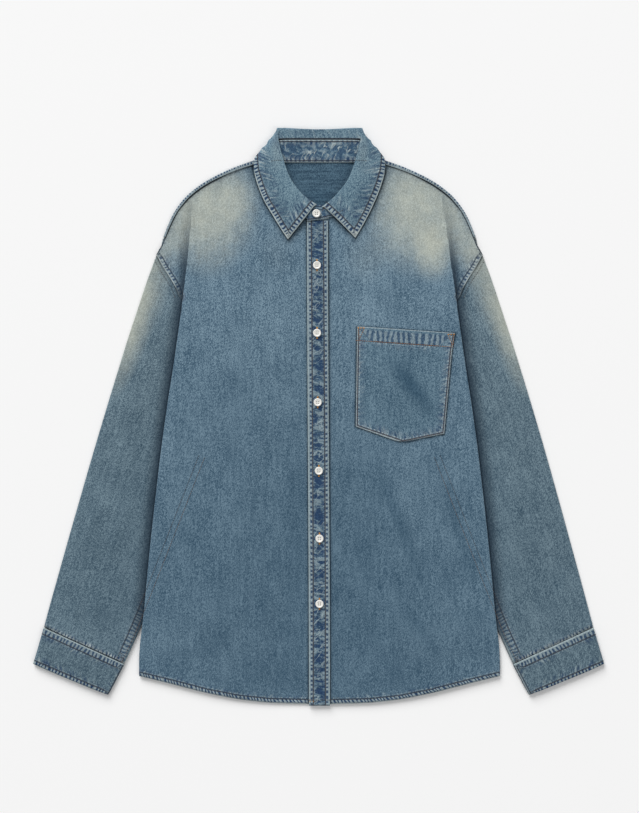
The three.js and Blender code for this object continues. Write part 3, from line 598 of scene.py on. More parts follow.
# Where the shirt was bleached: the chest below both shoulders, and the outer heads of the sleeves
BLEACH = (
    Patch(-160, 290, 68, 84, 0.8),
    Patch(-112, 305, 28, 42, 0.25),
    Patch(134, 296, 66, 88, 0.8),
    Patch(160, 232, 30, 40, 0.6),
    Patch(205, 244, 27, 58, 0.48, 20),
    Patch(-205, 250, 26, 56, 0.16, -20),
    Patch(182, 296, 26, 40, 0.22),
    Patch(-248, 188, 36, 96, 0.5, -16),
    Patch(248, 188, 36, 96, 0.5, 16),
    Patch(-268, 112, 26, 88, 0.52, -16),
    Patch(268, 112, 24, 88, 0.5, 16),
)
# Deeper or paler parts of the wash, and painted fold shading. The shirt darkens slowly towards its hem, and the
# left front and its pocket get painted shade along their slanting folds, with a painted highlight beside one
WASH_AND_PAINTED_FOLD_SHADING = (
    Patch(0, -290, 420, 400, -0.44),
    Patch(-85, 215, 36, 50, -0.06),
    Patch(66, 226, 34, 40, 0.1),
    Patch(-72, 226, 34, 40, 0.08),
    # Painted shade along the fold across the pocket
    Patch(127, 45, 16, 60, -0.62, 38),
    # Painted shade along three slanting folds of the left front, with a painted highlight beside the first
    Patch(112, -148, 11, 120, -0.24, 21),
    Patch(132, -140, 10, 112, 0.1, 21),
    Patch(192, -148, 10, 110, -0.22, 16),
    Patch(141, -297, 10, 60, -0.18, 34),
    Patch(60, -100, 46, 120, -0.08),
    Patch(70, 90, 50, 90, 0.05),
    Patch(-120, 20, 60, 100, -0.1),
    Patch(-190, 60, 26, 160, -0.08),
    Patch(-36, -120, 16, 260, -0.1),
)
# The soft crease below each shoulder, which becomes the fold at the side. Shade is painted on its outer side
ARM_VALLEY = {
    Side.RIGHT: ((-178.9, 292.3), (-180.9, 261), (-183.8, 231.4), (-186.8, 202), (-189.6, 178), (-192.6, 157.5)),
    Side.LEFT: ((171, 298.2), (177, 270.8), (180.5, 241.2), (184.2, 211.8), (188.7, 182.4), (192.6, 157.5)),
}
# Creases that the solids are too coarse for. They lift every layer of the front alike
FRONT_CREASES = (
    Crease((-150, 190), (-60, 120), 9, 0.5),
    Crease((-170, 120), (-120, -40), 12, 0.5),
    Crease((-60, 20), (-110, -150), 14, 0.45),
    Crease((-30, -180), (-90, -330), 12, 0.5),
    Crease((-190, -160), (-150, -320), 13, 0.5),
    Crease((40, -30), (110, -190), 9, 0.7),
    Crease((92, -10), (150, -170), 8, 0.6),
    Crease((60, -150), (130, -330), 11, 0.6),
    Crease((185, 60), (205, -120), 9, 0.5),
    Crease((150, -200), (220, -330), 10, 0.6),
    Crease((95, 95), (150, 10), 10, 0.6),
    Crease((150, 235), (70, 170), 10, 0.4),
    Crease((170, 200), (110, 190), 7, 0.4),
    Crease((-172, 215), (-110, 200), 8, 0.4),
)
SLEEVE_CREASES = (
    Crease((236, 190), (262, 90), 7, 0.5),
    Crease((262, 60), (252, 0), 8, 0.6),
    Crease((290, -20), (262, -80), 8, 0.6),
    Crease((300, -110), (330, -190), 9, 0.6),
    Crease((268, -120), (290, -210), 8, 0.5),
    Crease((352, -215), (330, -280), 7, 0.6),
    Crease((310, -250), (318, -310), 5, 0.6),
    Crease((340, -262), (346, -305), 5, 0.5),
)


def mirrored(points: tuple[tuple[float, float], ...], side: Side) -> tuple[tuple[float, float], ...]:
    """Returns points of the wearer's left on either side."""
    return tuple((side.value * x, y) for x, y in points)


# Edges and seams on the plan, with x away from the centre line
HEM = ((-14, -403), (0, -403), (69, -401.4), (113.5, -396.6), (158, -387.8), (212, -373.8), (253, -364))
BACK_HEM = tuple((x, y + 3) for x, y in (*mirrored(HEM[::-1], Side.RIGHT), *HEM[1:]))
SHOULDER_SEAM = (
    (93, 352), (112.5, 347.6), (132.5, 338.8), (149.8, 329.4), (164.2, 321.2), (175.6, 312.8), (185.2, 304.4),
    (199.2, 288.2), (208.2, 271.6), (215.2, 255), (220.8, 240.6), (228.4, 227),
)
FRONT_ARMHOLE = ((228.4, 226.8), (218.5, 208), (208.4, 193), (201.5, 181), (196.6, 168))
SLEEVE_INNER = ((157, -60), (192, -150), (230.5, -247.8), (250.6, -297.5), (257.2, -312.9), (272.8, -346.2))
SLEEVE_END = ((387.5, -295.7), (272, -347.6))
CUFF_TOP = ((386.4, -295.3), (272.6, -346.9))
CUFF_FREE = ((401.2, -347.2), (296, -392))
CUFF_ENDS = ((272.6, -346.9), (295.2, -390.6))
BODY_FOLD = (
    (183.8, 226), (187.5, 192), (192.6, 157.5), (196.5, 128), (204.5, 72), (213.8, 13), (222.4, -50),
    (235.6, -164), (246.5, -281), (253, -336), (252.8, -363.4),
)
COLLAR_RIGHT = (
    (4.2, 297.6), (14, 285.6), (24, 273), (44.1, 247.7), (54.5, 263.2), (65.8, 282.1), (77.2, 300.3), (85.4, 320),
    (92.9, 344.5), (94, 356), (94.4, 368), (94.4, 382),
)
COLLAR_LEFT = (
    (3.5, 294.8), (15, 284.4), (27, 273.5), (50.1, 249.9), (60.5, 267), (69.3, 283.5), (77.2, 300.3), (85.4, 320),
    (92.9, 344.5), (94, 356), (94.4, 368), (94.4, 382),
)
COLLAR_JOIN = (
    (-55, 386.9), (-44.6, 387.2), (-22.4, 387.2), (0, 387.2), (22.4, 387.2), (44.6, 387.2), (55, 386.9),
)
NECK_BACK = (
    (-66, 354.6), (-59, 355.4), (-45, 355.4), (-23, 355.4), (0, 355.4), (23, 355.4), (45, 355.4), (59, 355.4),
    (66, 354.6),
)
STAND_FRONT = ((-18, 272.8), (-2, 275), (18, 279.2), (34, 286.4))
STAND_FRONT_TOP = ((-16, 292.8), (2.4, 291), (17.5, 301.2))
POCKET = ((52.6, 125.6), (50.5, -14), (116.6, -36.4), (174.6, -24.2), (185.4, 93.1), (189.7, 116.2))
POCKET_TOP = ((52.6, 126.4), (189.7, 117))
PLACKET_RIGHT = ((-17.5, 274), (-16.6, 120), (-15.6, -60), (-14.8, -240), (-14.7, -404.6))
PLACKET_LEFT = ((11.9, 274), (12.8, 120), (13.8, -60), (14.6, -240), (14.7, -404.6))


@dataclass
class ClothPiece:
    """One cut piece of the shirt: a dense shell on its solid's form, with its seams, fading and painted shade as
    attributes.

    Args:
        node: the CAD node that the piece stands for.
        finish: its cloth.
        seams: its edges and seams.
        flat: the size that it was cut to, in metres; not used.
        area: the cut's area in square metres, where it isn't a rectangle; not used.
        rests_on: the nodes that it lies on; not used.
        slot: the name of a material slot; not used.
        levels: how many times its faces are split in four.
        creases: ridges that the solid doesn't have.
        held: how it is held; not used.
        tint: its patches of bleaching and deeper blue, and of painted shade and highlight along folds.
        shade_edges: the edges of the layers that lie on it, beside which shade is painted.
        shell: the built piece.
    """

    node: str
    finish: Denim
    seams: tuple[Seam, ...]
    flat: tuple[float, float]
    area: float | None
    rests_on: tuple[str, ...]
    slot: str = "denim"
    levels: int = 3
    creases: tuple[Crease, ...] = ()
    held: Held = Held.LAID
    tint: tuple[Patch, ...] = BLEACH + WASH_AND_PAINTED_FOLD_SHADING
    shade_edges: tuple[PaintedShadeEdge, ...] = ()
    shell: bpy.types.Object | None = None

    def build(self) -> None:
        """Builds the shell and dresses it."""
        self.shell = self.split_solid()
        self.lift()
        self.paint()
        self.shell.data.materials.clear()
        self.shell.data.materials.append(self.finish.material())
        LOG.info("%s: %d faces", self.shell.name, len(self.shell.data.polygons))

    def split_solid(self) -> bpy.types.Object:
        """Copies the solid, joins its triangles to four-sided faces and splits them with rounded surfaces.

        Returns:
            The dense shell.
        """
        sheet = bmesh.new()
        sheet.from_mesh(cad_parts[self.node].data)
        bmesh.ops.remove_doubles(sheet, verts=sheet.verts, dist=SAME_CORNER)
        bmesh.ops.join_triangles(
            sheet,
            faces=sheet.faces[:],
            angle_face_threshold=math.radians(120),
            angle_shape_threshold=math.radians(180),
            topology_influence=1.5,
        )
        sharp = sheet.edges.layers.float.new("crease_edge")
        for edge in sheet.edges:
            if edge.calc_face_angle(0.0) > SHARP_EDGE:
                edge[sharp] = 1.0
        for face in sheet.faces:
            face.smooth = True
        mesh = bpy.data.meshes.new(f"{self.node}_cloth")
        sheet.to_mesh(mesh)
        sheet.free()
        shell = add_object(mesh.name, mesh)
        split = shell.modifiers.new("rounding", "SUBSURF")
        split.levels = split.render_levels = self.levels
        split.use_limit_surface = False
        dense = finished(shell)
        shell.modifiers.clear()
        shell.data = dense
        bpy.data.meshes.remove(mesh)
        dense.name = shell.name
        return shell

    def points(self) -> np.ndarray:
        """Returns the shell's points in mm."""
        flat = np.zeros(3 * len(self.shell.data.vertices), np.float32)
        self.shell.data.vertices.foreach_get("co", flat)
        return flat.reshape(-1, 3).astype(float) / MM

    def lift(self) -> None:
        """Raises the shell's points by its creases."""
        if not self.creases:
            return
        points = self.points()
        for crease in self.creases:
            points[:, 2] += crease.at(points[:, :2])
        self.shell.data.vertices.foreach_set("co", (points * MM).astype(np.float32).ravel())
        self.shell.data.update()

    def paint(self) -> None:
        """Writes the seams, the fading and painted fold shade, and the painted shade by layers above as attributes.
        """
        spots = self.points()[:, :2]
        seams = np.tile([FAR, 0.0, SEW], (len(spots), 1))
        worn = np.zeros((len(spots), 3))
        for number, seam in enumerate(self.seams):
            away, along = seam.measure(spots)
            nearer = away < seams[:, 0]
            seams[nearer, 0] = away[nearer]
            seams[nearer, 1] = along[nearer] + NEXT_SEAM * number
            seams[nearer, 2] = seam.sew
            worn[nearer, :2] = seam.pucker, seam.slant
        # The patches add bleaching and deeper blue, and painted shade and highlight along folds
        for patch in self.tint:
            worn[:, 2] += patch.at(spots)
        # Painted shade beside the edges of the layers above: the distance, the shadow line's darkness and the wider
        # shade
        above = np.tile([FAR, 0.0, 0.0], (len(spots), 1))
        for painted_shade in self.shade_edges:
            away = painted_shade.away(spots)
            nearer = away < above[:, 0]
            above[nearer, 0] = away[nearer]
            above[nearer, 1] = painted_shade.dark
            above[:, 2] = np.maximum(above[:, 2], painted_shade.shading(spots, away))
        for name, values in (("seam", seams), ("wash_and_painted_shade", worn), ("painted_shade", above)):
            layer = self.shell.data.attributes.new(name, "FLOAT_VECTOR", "POINT")
            layer.data.foreach_set("vector", values.astype(np.float32).ravel())

    def declare(self) -> None:
        """Hides the solid that the piece replaces and hangs the piece on the root."""
        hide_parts(self.node)
        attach(self.shell, "root")


@dataclass
class Body:
    """The back, the yoke, both fronts, the buttonhole strip and the pocket."""

    body_denim: Denim = Denim("washed_indigo_twill_body")
    yoke_denim: Denim = Denim(
        "washed_indigo_twill_yoke", warp="#284156", weft="#546f80", slub=1.5, slub_across=True, grain=0.8,
        pucker_pitch=4.0, edge_wear=0.5,
    )
    placket_denim: Denim = Denim(
        "washed_indigo_twill_placket", warp="#304a62", weft="#5d7686", worn="#94a5ab", blotch=1.0,
        blotch_size=(12.0, 4.6), pucker_pitch=6.4, reach=2.0, wisps=0.75, sunk_line_shade="#3a3f4c", ridge=0.35,
        dots=(0.3, 0.92), band_wear=0.6,
    )
    pocket_denim: Denim = Denim(
        "washed_indigo_twill_pocket", warp="#38586f", weft="#728b99", pucker_pitch=8.0, reach=14.0, scallop=0.55,
        sunk_line_shade="#3b4554", worn="#a3b1b5", ridge=1.5,
    )
    pieces: list[ClothPiece] = field(default_factory=list)

    def build(self) -> list[ClothPiece]:
        """Builds the pieces and returns them."""
        self.pieces = [
            ClothPiece(
                "back", self.body_denim,
                (
                    Seam(BACK_HEM, sew=6.4, pucker=0.9, slant=0.6),
                    Seam(((-216, 251), (216, 251)), sew=5, pucker=0.6, thread=None),
                ),
                (0.5, 0.651), 0.2355, (),
            ),
            ClothPiece(
                "yoke", self.yoke_denim,
                (
                    Seam(mirrored(SHOULDER_SEAM, Side.RIGHT), sew=5.4, pucker=0.9, thread=None),
                    Seam(SHOULDER_SEAM, sew=5.4, pucker=0.9, thread=None),
                    Seam(((-216, 251), (216, 251)), sew=5, pucker=0.6, thread=None),
                ),
                (0.47, 0.118), 0.0443, ("back", "front_right", "front_left"), levels=2, tint=(
                    Patch(0, 330, 70, 40, -0.1), Patch(-58, 330, 24, 50, -0.4), Patch(58, 330, 24, 50, -0.4),
                    Patch(0, 300, 60, 22, -0.35), Patch(-150, 330, 80, 60, 0.1), Patch(150, 330, 80, 60, 0.1),
                ),
            ),
        ]
        # Painted shadow lines and painted soft shade on the fronts beside the buttonhole strip, the collar and the
        # pocket
        collar = {"dark": 0.75, "reach": 11.0, "shade": 0.45}
        for side, name, rests, shade_edges in (
            (
                Side.RIGHT, "front_right", ("sleeve_right", "back"),
                (PaintedShadeEdge(PLACKET_RIGHT, 0.6, 6.0, 0.25), PaintedShadeEdge(mirrored(COLLAR_RIGHT, Side.RIGHT), **collar)),
            ),
            (
                Side.LEFT, "front_left", ("front_right", "sleeve_left"),
                (
                    PaintedShadeEdge(PLACKET_LEFT, 0.75, 6.0, 0.35), PaintedShadeEdge(COLLAR_LEFT, **collar),
                    PaintedShadeEdge(POCKET + POCKET[:1], 0.7, 4.5, 0.3),
                ),
            ),
        ):
            self.pieces.append(
                ClothPiece(
                    name, self.body_denim,
                    (
                        Seam(mirrored(HEM, side), sew=6.4, pucker=0.9, slant=side.value * 0.6),
                        Seam(mirrored(FRONT_ARMHOLE, side), sew=5.8, pucker=0.75),
                        Seam(mirrored(SHOULDER_SEAM, side), sew=1.0, pucker=0.3, thread=None),
                    ),
                    (0.33, 0.76), 0.1935, rests, creases=FRONT_CREASES,
                    shade_edges=(
                        *shade_edges,
                        # Painted shade outside the crease below the shoulder, growing downwards; painted shade over
                        # the lower end of the armhole seam; and a painted shadow line below the yoke's edge
                        PaintedShadeEdge(ARM_VALLEY[side], 0.0, 19.0, 0.92, outer=True, grows=(295, 190)),
                        PaintedShadeEdge(mirrored(((201, 178), (196.6, 166)), side), 0.0, 10.0, 0.8),
                        PaintedShadeEdge(mirrored(SHOULDER_SEAM, side), 0.7, 5.0, 0.15),
                    ),
                )
            )
        self.pieces += [
            ClothPiece(
                "placket", self.placket_denim,
                (
                    Seam(PLACKET_RIGHT, sew=6.1, pucker=0.95),
                    Seam(PLACKET_LEFT, sew=6.4, pucker=0.95),
                ),
                (0.0294, 0.679), None, ("front_left",), "denim_seamed", 4, FRONT_CREASES, tint=(),
            ),
            ClothPiece(
                "pocket", self.pocket_denim,
                (
                    Seam(POCKET, sew=2.2, pucker=0.8, thread="brown"),
                    Seam(POCKET_TOP, sew=20.0, pucker=0.62, thread="rust"),
                ),
                (0.139, 0.163), 0.0194, ("front_left",), levels=4, creases=FRONT_CREASES,
            ),
        ]
        for piece in self.pieces:
            piece.build()
        return self.pieces


@dataclass
class Sleeves:
    """Both sleeves and their cuffs, flattened as they lie."""

    sleeve_turn: float = 17.0
    pieces: list[ClothPiece] = field(default_factory=list)

    def build(self) -> list[ClothPiece]:
        """Builds the pieces and returns them."""
        for side, name in ((Side.RIGHT, "right"), (Side.LEFT, "left")):
            turn = -side.value * self.sleeve_turn
            creases = tuple(
                Crease((side.value * c.start[0], c.start[1]), (side.value * c.end[0], c.end[1]), c.width, c.rise)
                for c in SLEEVE_CREASES
            )
            self.pieces += [
                ClothPiece(
                    f"sleeve_{name}",
                    Denim(
                        f"washed_indigo_twill_sleeve_{name}", "#3f5869", "#758993", grain_turn=turn,
                        pucker_pitch=5.2, reach=8.0, scallop=0.7,
                    ),
                    (
                        Seam(mirrored(SLEEVE_INNER, side), sew=13.0, pucker=0.55, twin=-8.5),
                        Seam(mirrored(SLEEVE_END, side), sew=1.2, pucker=1.9, thread=None),
                    ),
                    (0.5, 0.57), 0.1353, (), creases=creases, held=Held.FOLDED,
                    # Painted shade on the sleeve beside the folded side of the body, and a painted shadow line along
                    # the armhole
                    shade_edges=(
                        PaintedShadeEdge(mirrored(BODY_FOLD, side), 0.9, 21.0, 0.85),
                        PaintedShadeEdge(mirrored(FRONT_ARMHOLE, side), 0.9, 8.0, 0.3),
                    ),
                ),
                ClothPiece(
                    f"cuff_{name}",
                    Denim(
                        f"washed_indigo_twill_cuff_{name}", "#3c5465", "#6a7e88", grain_turn=turn, reach=12.0,
                        worn="#9fadb0", pucker_pitch=5.4, sunk_line_shade="#2b3546", edge_wear=0.9,
                    ),
                    (
                        Seam(mirrored(CUFF_TOP, side), sew=8.4, pucker=0.8),
                        Seam(mirrored(CUFF_FREE, side), sew=6.3, pucker=1.0),
                        Seam(mirrored(CUFF_ENDS, side), sew=1.5, pucker=0.6, thread=None),
                    ),
                    (0.236, 0.054), None, (), held=Held.FOLDED, tint=(),
                ),
            ]
        for piece in self.pieces:
            piece.build()
        return self.pieces


@dataclass
class Collar:
    """The collar stand, which shows inside the neck, and the leaf that falls over it."""

    stand_denim: Denim = Denim(
        "washed_indigo_twill_collar_stand", warp="#36566f", weft="#607c8f", blotch=0.6, blotch_size=(8.0, 6.0),
        wisps=0.9, pucker_pitch=7.0, reach=8.0, grain=0.8, scallop=0.9, ridge=0.2, edge_wear=0.6,
    )
    leaf_denim: Denim = Denim(
        "washed_indigo_twill_collar_leaf", warp="#3f6078", weft="#7b949f", pucker_pitch=5.2, reach=26.0,
        scallop=0.15, sunk_line_shade="#3c3f4b", ridge=0.3,
    )
    pieces: list[ClothPiece] = field(default_factory=list)

    def build(self) -> list[ClothPiece]:
        """Builds the pieces and returns them."""
        self.pieces = [
            ClothPiece(
                "collar_stand", self.stand_denim,
                (
                    Seam(COLLAR_JOIN, sew=2.6, pucker=0.9),
                    Seam(NECK_BACK, sew=2.6, pucker=0.9),
                    Seam(STAND_FRONT, sew=2.4, pucker=0.5),
                    Seam(STAND_FRONT_TOP, sew=2.0, pucker=0.3, thread=None),
                ),
                (0.36, 0.034), 0.0101, ("yoke", "front_right", "front_left"), "denim_seamed", tint=(),
            ),
            ClothPiece(
                "collar_leaf", self.leaf_denim,
                (
                    Seam(mirrored(COLLAR_RIGHT, Side.RIGHT), sew=7.6, pucker=1.0),
                    Seam(COLLAR_LEFT, sew=7.6, pucker=1.0),
                    Seam(COLLAR_JOIN, sew=1.6, pucker=0.4, thread=None),
                ),
                (0.45, 0.065), 0.0192, ("collar_stand", "front_right", "front_left"), held=Held.FOLDED,
                tint=(
                    Patch(-44, 252, 10, 10, 1.0), Patch(50, 254, 10, 10, 1.0), Patch(-6, 293, 6, 6, 0.4),
                    Patch(-58, 292, 16, 34, -0.25, 28), Patch(62, 292, 16, 34, -0.25, -28),
                    Patch(-60, 372, 10, 30, 0.12), Patch(60, 372, 10, 30, 0.12),
                ),
            ),
        ]
        for piece in self.pieces:
            piece.build()
        return self.pieces


@dataclass
class Sewing:
    """The rows of stitches, laid by one tree of Geometry Nodes along lines on the cloth.

    Args:
        pitch: from stitch to stitch, in mm.
        stitch: a stitch's length.
        thread: how thick the thread is drawn.
        surface: the upper surface of all the cloth.
        tree: sets a stitch at every pitch along a line.
    """

    pitch: float = 3.1
    stitch: float = 2.5
    thread: float = 0.75
    surface: BVHTree | None = None
    tree: bpy.types.NodeTree | None = None

    def survey(self, pieces: list[ClothPiece]) -> None:
        """Keeps the upper surface of all the cloth, so that lines can be laid on it.

        Args:
            pieces: the built pieces.
        """
        corners: list[Vector] = []
        faces: list[tuple[int, ...]] = []
        for piece in pieces:
            start = len(corners)
            corners += [v.co.copy() for v in piece.shell.data.vertices]
            faces += [tuple(start + i for i in face.vertices) for face in piece.shell.data.polygons]
        self.surface = BVHTree.FromPolygons(corners, faces)

    def lay(self, line: np.ndarray, step: float = 1.5) -> list[Vector]:
        """Lays a line of the plan on the cloth, up to a step from its end.

        Args:
            line: its points, in mm.
            step: how closely it follows the surface.

        Returns:
            Its points on the surface, in metres.
        """
        laid: list[Vector] = []
        for a, b in zip(line[:-1], line[1:]):
            count = max(1, int(np.hypot(*(b - a)) / step))
            for k in range(count):
                spot = (a + (b - a) * k / count) * MM
                hit = self.surface.ray_cast(Vector((*spot, RAY_TOP)), Vector((0, 0, -1)))[0]
                if hit is not None and hit.z > LOWEST_CLOTH:
                    laid.append(hit + Vector((0, 0, SHOWING * self.thread * MM)))
        return laid

    def stitches(self) -> bpy.types.NodeTree:
        """Builds the tree that sets a stitch at every pitch along a line.

        Returns:
            The tree, with named inputs for its sizes.
        """
        tree = bpy.data.node_groups.new("stitch_row", "GeometryNodeTree")
        face = tree.interface
        face.new_socket("Line", in_out="INPUT", socket_type="NodeSocketGeometry")
        sizes = {"Pitch": self.pitch, "Length": self.stitch, "Thread": self.thread, "Turn": 0.0}
        for name, value in sizes.items():
            face.new_socket(name, in_out="INPUT", socket_type="NodeSocketFloat").default_value = value
        face.new_socket("Finish", in_out="INPUT", socket_type="NodeSocketMaterial")
        face.new_socket("Stitches", in_out="OUTPUT", socket_type="NodeSocketGeometry")
        add = partial(add_node, tree)
        given = add(Kind.GIVEN).outputs
        curve = add(Kind.CURVE, given["Line"])
        spots = add(Kind.PITCHED, curve, Length=add(Kind.MULTIPLY, given["Pitch"], MM)).outputs
        half_thread = add(Kind.MULTIPLY, given["Thread"], 0.5 * MM)
        half_stitch = add(Kind.MULTIPLY, given["Length"], 0.5 * MM)
        size = add(Kind.JOIN, half_thread, half_thread, half_stitch)
        stitch = add(Kind.SIZED, add(Kind.BALL, Segments=6, Rings=4, Radius=1.0), Scale=size)
        jitter = add(Kind.RANDOM, Min=(-UNEVEN,) * 3, Max=(UNEVEN,) * 3, Seed=11)
        turned = add(Kind.TURN, spots["Rotation"], jitter, rotation_space="LOCAL")
        turned = add(Kind.TURN, turned, add(Kind.JOIN, 0.0, 0.0, given["Turn"]), rotation_space="GLOBAL")
        placed = add(Kind.LAID_OUT, Points=spots["Points"], Instance=stitch, Rotation=turned)
        add(Kind.RESULT, add(Kind.DRESSED, add(Kind.REAL, placed), Material=given["Finish"]))
        return tree

    def sew(
        self, name: str, lines: list[list[Vector]], finish: bpy.types.Material, **sizes: float
    ) -> bpy.types.Object:
        """Sews rows of stitches along lines.

        Args:
            name: the new piece's name.
            lines: the lines on the cloth, in metres.
            finish: the thread's material.
            sizes: other sizes than the usual, by the tree's names.

        Returns:
            The stitches as a plain mesh.
        """
        corners: list[Vector] = []
        edges: list[tuple[int, int]] = []
        for line in lines:
            start = len(corners)
            corners += line
            edges += [(start + k, start + k + 1) for k in range(len(line) - 1)]
        path = bpy.data.meshes.new(name)
        path.from_pydata(corners, edges, [])
        piece = add_object(name, path)
        self.tree = self.tree or self.stitches()
        modifier = piece.modifiers.new("stitches", "NODES")
        modifier.node_group = self.tree
        for socket in self.tree.interface.items_tree:
            if socket.in_out == "INPUT" and socket.name in sizes:
                modifier[socket.identifier] = sizes[socket.name]
            elif socket.name == "Finish":
                modifier[socket.identifier] = finish
        dense = finished(piece)
        piece.modifiers.clear()
        piece.data = dense
        bpy.data.meshes.remove(path)
        dense.name = name
        for face in dense.polygons:
            face.use_smooth = True
        LOG.info("%s: %d faces", name, len(dense.polygons))
        return piece


# Thread is drawn about twice as thick as it is, or it would not show at all
THREADS = {
    "slate": Thread("spun_polyester_thread_slate", "#625a58", "#333c48"),
    "brown": Thread("spun_polyester_thread_brown", "#7c6455", "#4f4a4c"),
    "rust": Thread("spun_polyester_thread_rust", "#b07a46", "#8a6244"),
    "bartack": Thread("spun_polyester_thread_orange", "#d6a04e", "#b98544"),
    "white": Thread("spun_polyester_thread_white", "#e9e7e0", "#cfccc4"),
}

# Where a place inside each piece is, to tell which way its seams are inset
INSIDES = {
    "back": (0, 0), "yoke": (0, 300), "front_right": (-110, 0), "front_left": (110, 0), "placket": (0, 0),
    "pocket": (115, 50), "collar_stand": (0, 370), "collar_leaf": (0, 330), "sleeve_right": (-280, -60),
    "sleeve_left": (280, -60), "cuff_right": (-340, -345), "cuff_left": (340, -345),
}


@dataclass
class Buttons:
    """Seven white four-hole shirt buttons, sewn on, with the ends of their buttonholes."""

    radius: float = 5.7
    height: float = 2.6
    hole: float = 0.85
    spread: float = 1.35
    sides: int = 40
    buttonhole: float = 17.0

    def profile(self) -> list[tuple[float, float]]:
        """Returns the turned section of a button: a rounded rim round a shallow dish."""
        r, h = self.radius, self.height
        return [
            (0, 0), (r - 1.2, 0), (r - 0.5, 0.3), (r - 0.08, 0.9), (r, 1.4), (r - 0.15, h - 0.7), (r - 0.5, h - 0.2),
            (r - 1.0, h), (r - 1.5, h - 0.12), (r - 2.0, h - 0.45), (r - 2.6, h - 0.68), (0, h - 0.78),
        ]

    def turned(self, name: str) -> bpy.types.Object:
        """Turns the blank of a button about its axis and returns it."""
        blank = bmesh.new()
        corners = [blank.verts.new((x, 0, z)) for x, z in self.profile()]
        edges = [blank.edges.new(pair) for pair in zip(corners[:-1], corners[1:])]
        bmesh.ops.spin(
            blank, geom=corners + edges, axis=(0, 0, 1), cent=(0, 0, 0), angle=math.tau, steps=self.sides
        )
        bmesh.ops.remove_doubles(blank, verts=blank.verts, dist=1e-4)
        bmesh.ops.recalc_face_normals(blank, faces=blank.faces)
        mesh = bpy.data.meshes.new(name)
        blank.to_mesh(mesh)
        blank.free()
        return add_object(name, mesh)

    def drilled(self, name: str) -> bpy.types.Mesh:
        """Drills the four holes through a blank.

        Args:
            name: the new mesh's name.

        Returns:
            The button in mm about its own axis.
        """
        blank = self.turned(name)
        bits = bmesh.new()
        for a in (-1, 1):
            for b in (-1, 1):
                made = bmesh.ops.create_cone(
                    bits, cap_ends=True, segments=14, radius1=self.hole, radius2=self.hole,
                    depth=3 * self.height,
                )
                bmesh.ops.translate(bits, verts=made["verts"], vec=(a * self.spread, b * self.spread, 0))
        mesh = bpy.data.meshes.new("drill")
        bits.to_mesh(mesh)
        bits.free()
        drill = add_object("drill", mesh)
        cut = blank.modifiers.new("holes", "BOOLEAN")
        cut.operation, cut.object, cut.solver = "DIFFERENCE", drill, "EXACT"
        done = finished(blank)
        for spare in (blank, drill):
            bpy.data.objects.remove(spare)
        return done

    def build(self, sewing: Sewing) -> None:
        """Places the buttons on their solids, with the thread in their holes.

        Args:
            sewing: lays the buttonholes' stitches.
        """
        resin = Resin().material()
        pattern = self.drilled("button_blank")
        shape = np.zeros(3 * len(pattern.vertices), np.float32)
        pattern.vertices.foreach_get("co", shape)
        shape = shape.reshape(-1, 3)
        bars: list[list[Vector]] = []
        ends: list[list[Vector]] = []
        for number in range(1, 8):
            node = f"button_{number}"
            low, high = (np.array(corner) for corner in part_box(node))
            middle = (low + high) / 2
            mesh = pattern.copy()
            moved = shape * MM + np.array([middle[0], middle[1], low[2]])
            mesh.vertices.foreach_set("co", moved.astype(np.float32).ravel())
            mesh.materials.clear()
            mesh.materials.append(resin)
            for face in mesh.polygons:
                face.use_smooth = abs(face.normal.z) < 0.995
            piece = add_object(f"{node}_resin", mesh)
            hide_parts(node)
            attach(piece, "root")
            top = low[2] + (self.height - 0.75) * MM
            for a in (-1, 1):
                spread = self.spread * MM
                bars.append(
                    [Vector((middle[0] + a * spread, middle[1] + b * 1.1 * spread, top)) for b in (-1, 0, 1)]
                )
            if number > 1:
                centre = middle[:2] / MM
                for end in (-1, 1):
                    line = np.array([[0, 0.62], [0, 1.0]]) * (end * self.buttonhole / 2)
                    ends.append(sewing.lay(line + centre, 0.4))
            LOG.info("%s: %d faces", piece.name, len(mesh.polygons))
        thread = sewing.sew(
            "button_threads", bars, THREADS["white"].material(), Pitch=0.5, Length=1.6, Thread=0.5
        )
        holes = sewing.sew(
            "buttonhole_ends", [e for e in ends if len(e) > 1], THREADS["bartack"].material(),
            Pitch=0.42, Length=2.5, Thread=0.5, Turn=math.pi / 2,
        )
        for piece in (thread, holes):
            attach(piece, "root")


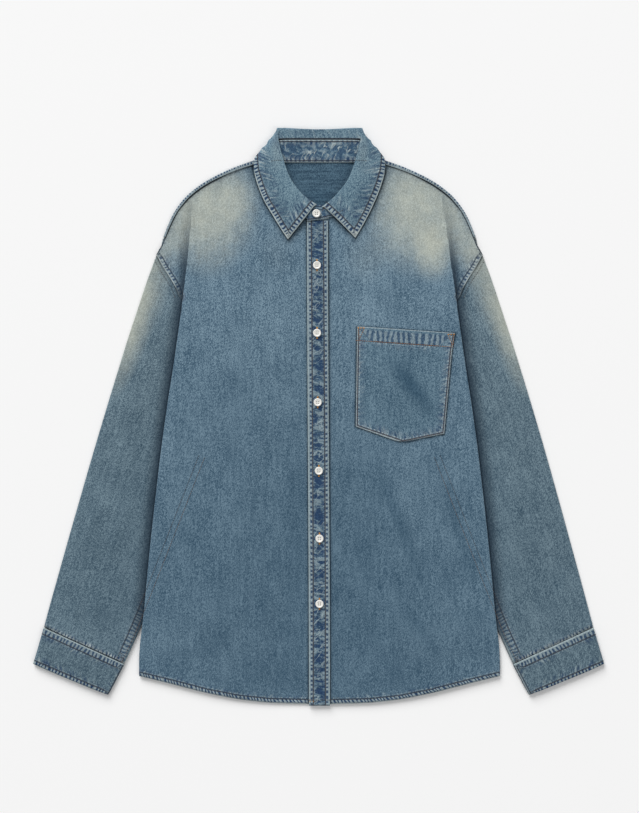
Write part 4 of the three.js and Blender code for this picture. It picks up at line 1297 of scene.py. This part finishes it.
def sew_all(sewing: Sewing, pieces: list[ClothPiece]) -> None:
    """Sews every row of stitches that shows on the upper side.

    Args:
        sewing: lays and sews the lines.
        pieces: the cloth, with its seams.
    """
    lines: dict[str, list[list[Vector]]] = {name: [] for name in THREADS}
    for piece in pieces:
        if piece.node == "back":
            continue
        inside = np.array(INSIDES[piece.node], float) + SHIFT
        for seam in piece.seams:
            if seam.thread is None:
                continue
            for extra in (0.0, seam.twin) if seam.twin else (0.0,):
                laid = sewing.lay(seam.inset(seam.sew + extra, inside))
                if len(laid) > 2:
                    lines[seam.thread if not extra else "brown"].append(laid)
    # Small triangles of close stitches hold the pocket's upper corners
    for corner, inward in (((54.4, 124.6), 1), ((187.8, 115.4), -1)):
        a = np.array(corner)
        triangle = np.array([a, a + (inward * 8.6, -0.2), a + (inward * 1.4, -16.5), a])
        lines["rust"].append(sewing.lay(triangle + SHIFT, 0.8))
        for drop in (0.5, 1.0):
            lines["bartack"].append(sewing.lay(triangle[:2] + SHIFT - (0, drop), 0.8))
    # A short bar of thread at the foot of the placket
    lines["bartack"].append(sewing.lay(np.array([[-13.2, -398.6], [-7.5, -398.4]]) + SHIFT, 0.8))
    # The end of the stand's buttonhole shows beside the first button
    for end in (((4.5, 287.8), (6.5, 291.2)), ((6.5, 291.2), (11.5, 293.4))):
        lines["brown"].append(sewing.lay(np.array(end) + SHIFT, 0.6))
    for name, found in lines.items():
        if found:
            piece = sewing.sew(f"stitches_{name}", found, THREADS[name].material())
            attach(piece, "root")


def studio() -> None:
    """Sets the pale surface, the soft light from the upper left and the camera straight above."""
    mesh = bpy.data.meshes.new("surface")
    reach, level = 30.0, -0.0003
    corners = [(-reach, -reach, level), (reach, -reach, level), (reach, reach, level), (-reach, reach, level)]
    mesh.from_pydata(corners, [], [(0, 1, 2, 3)])
    floor = add_object("surface", mesh)
    matt = {"Base Color": linear("#fbfbfb"), "Roughness": 1.0, "Specular IOR Level": 0.0}
    mesh.materials.append(start_material("matt_white_paper", matt)[0])

    for name, place, size, power in (
        ("softbox_key", (-10.5, 25.5, 18.0), 21.0, 10300.0),
        ("softbox_fill", (19.8, -12.6, 27.0), 18.0, 1440.0),
    ):
        lamp = bpy.data.lights.new(name, "AREA")
        lamp.shape, lamp.size, lamp.energy = "SQUARE", size, power
        light = add_object(name, lamp)
        light.location = place
        light.rotation_euler = (-Vector(place)).to_track_quat("-Z", "Y").to_euler()
    world = bpy.data.worlds.new("studio_air")
    world.use_nodes = True
    air = world.node_tree.nodes["Background"].inputs
    air["Color"].default_value = (1, 1, 1, 1)
    air["Strength"].default_value = 0.41
    bpy.context.scene.world = world
    bpy.context.scene.view_settings.view_transform = "Standard"

    lens = bpy.data.cameras.new("camera")
    lens.lens, lens.sensor_width = 100, 36
    camera = add_object("camera", lens)
    camera.location = (SHIFT[0] * MM, 0.014 + SHIFT[1] * MM, 3.165)
    bpy.context.scene.camera = camera


def main() -> None:
    """Builds the shirt piece by piece and reports each one."""
    logging.basicConfig(level=logging.INFO, format="%(name)s: %(message)s")
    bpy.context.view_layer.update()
    studio()
    pieces = Body().build() + Sleeves().build() + Collar().build()
    sewing = Sewing()
    sewing.survey(pieces)
    for piece in pieces:
        piece.declare()
    sew_all(sewing, pieces)
    Buttons().build(sewing)
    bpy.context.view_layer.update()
    counts = {
        piece.name: sum(len(face.vertices) - 2 for face in piece.data.polygons)
        for piece in bpy.context.scene.objects
        if piece.type == "MESH" and piece.visible_get()
    }
    LOG.info("triangles: %d in all, at most %d in one piece", sum(counts.values()), max(counts.values()))


if __name__ == "__main__":
    main()
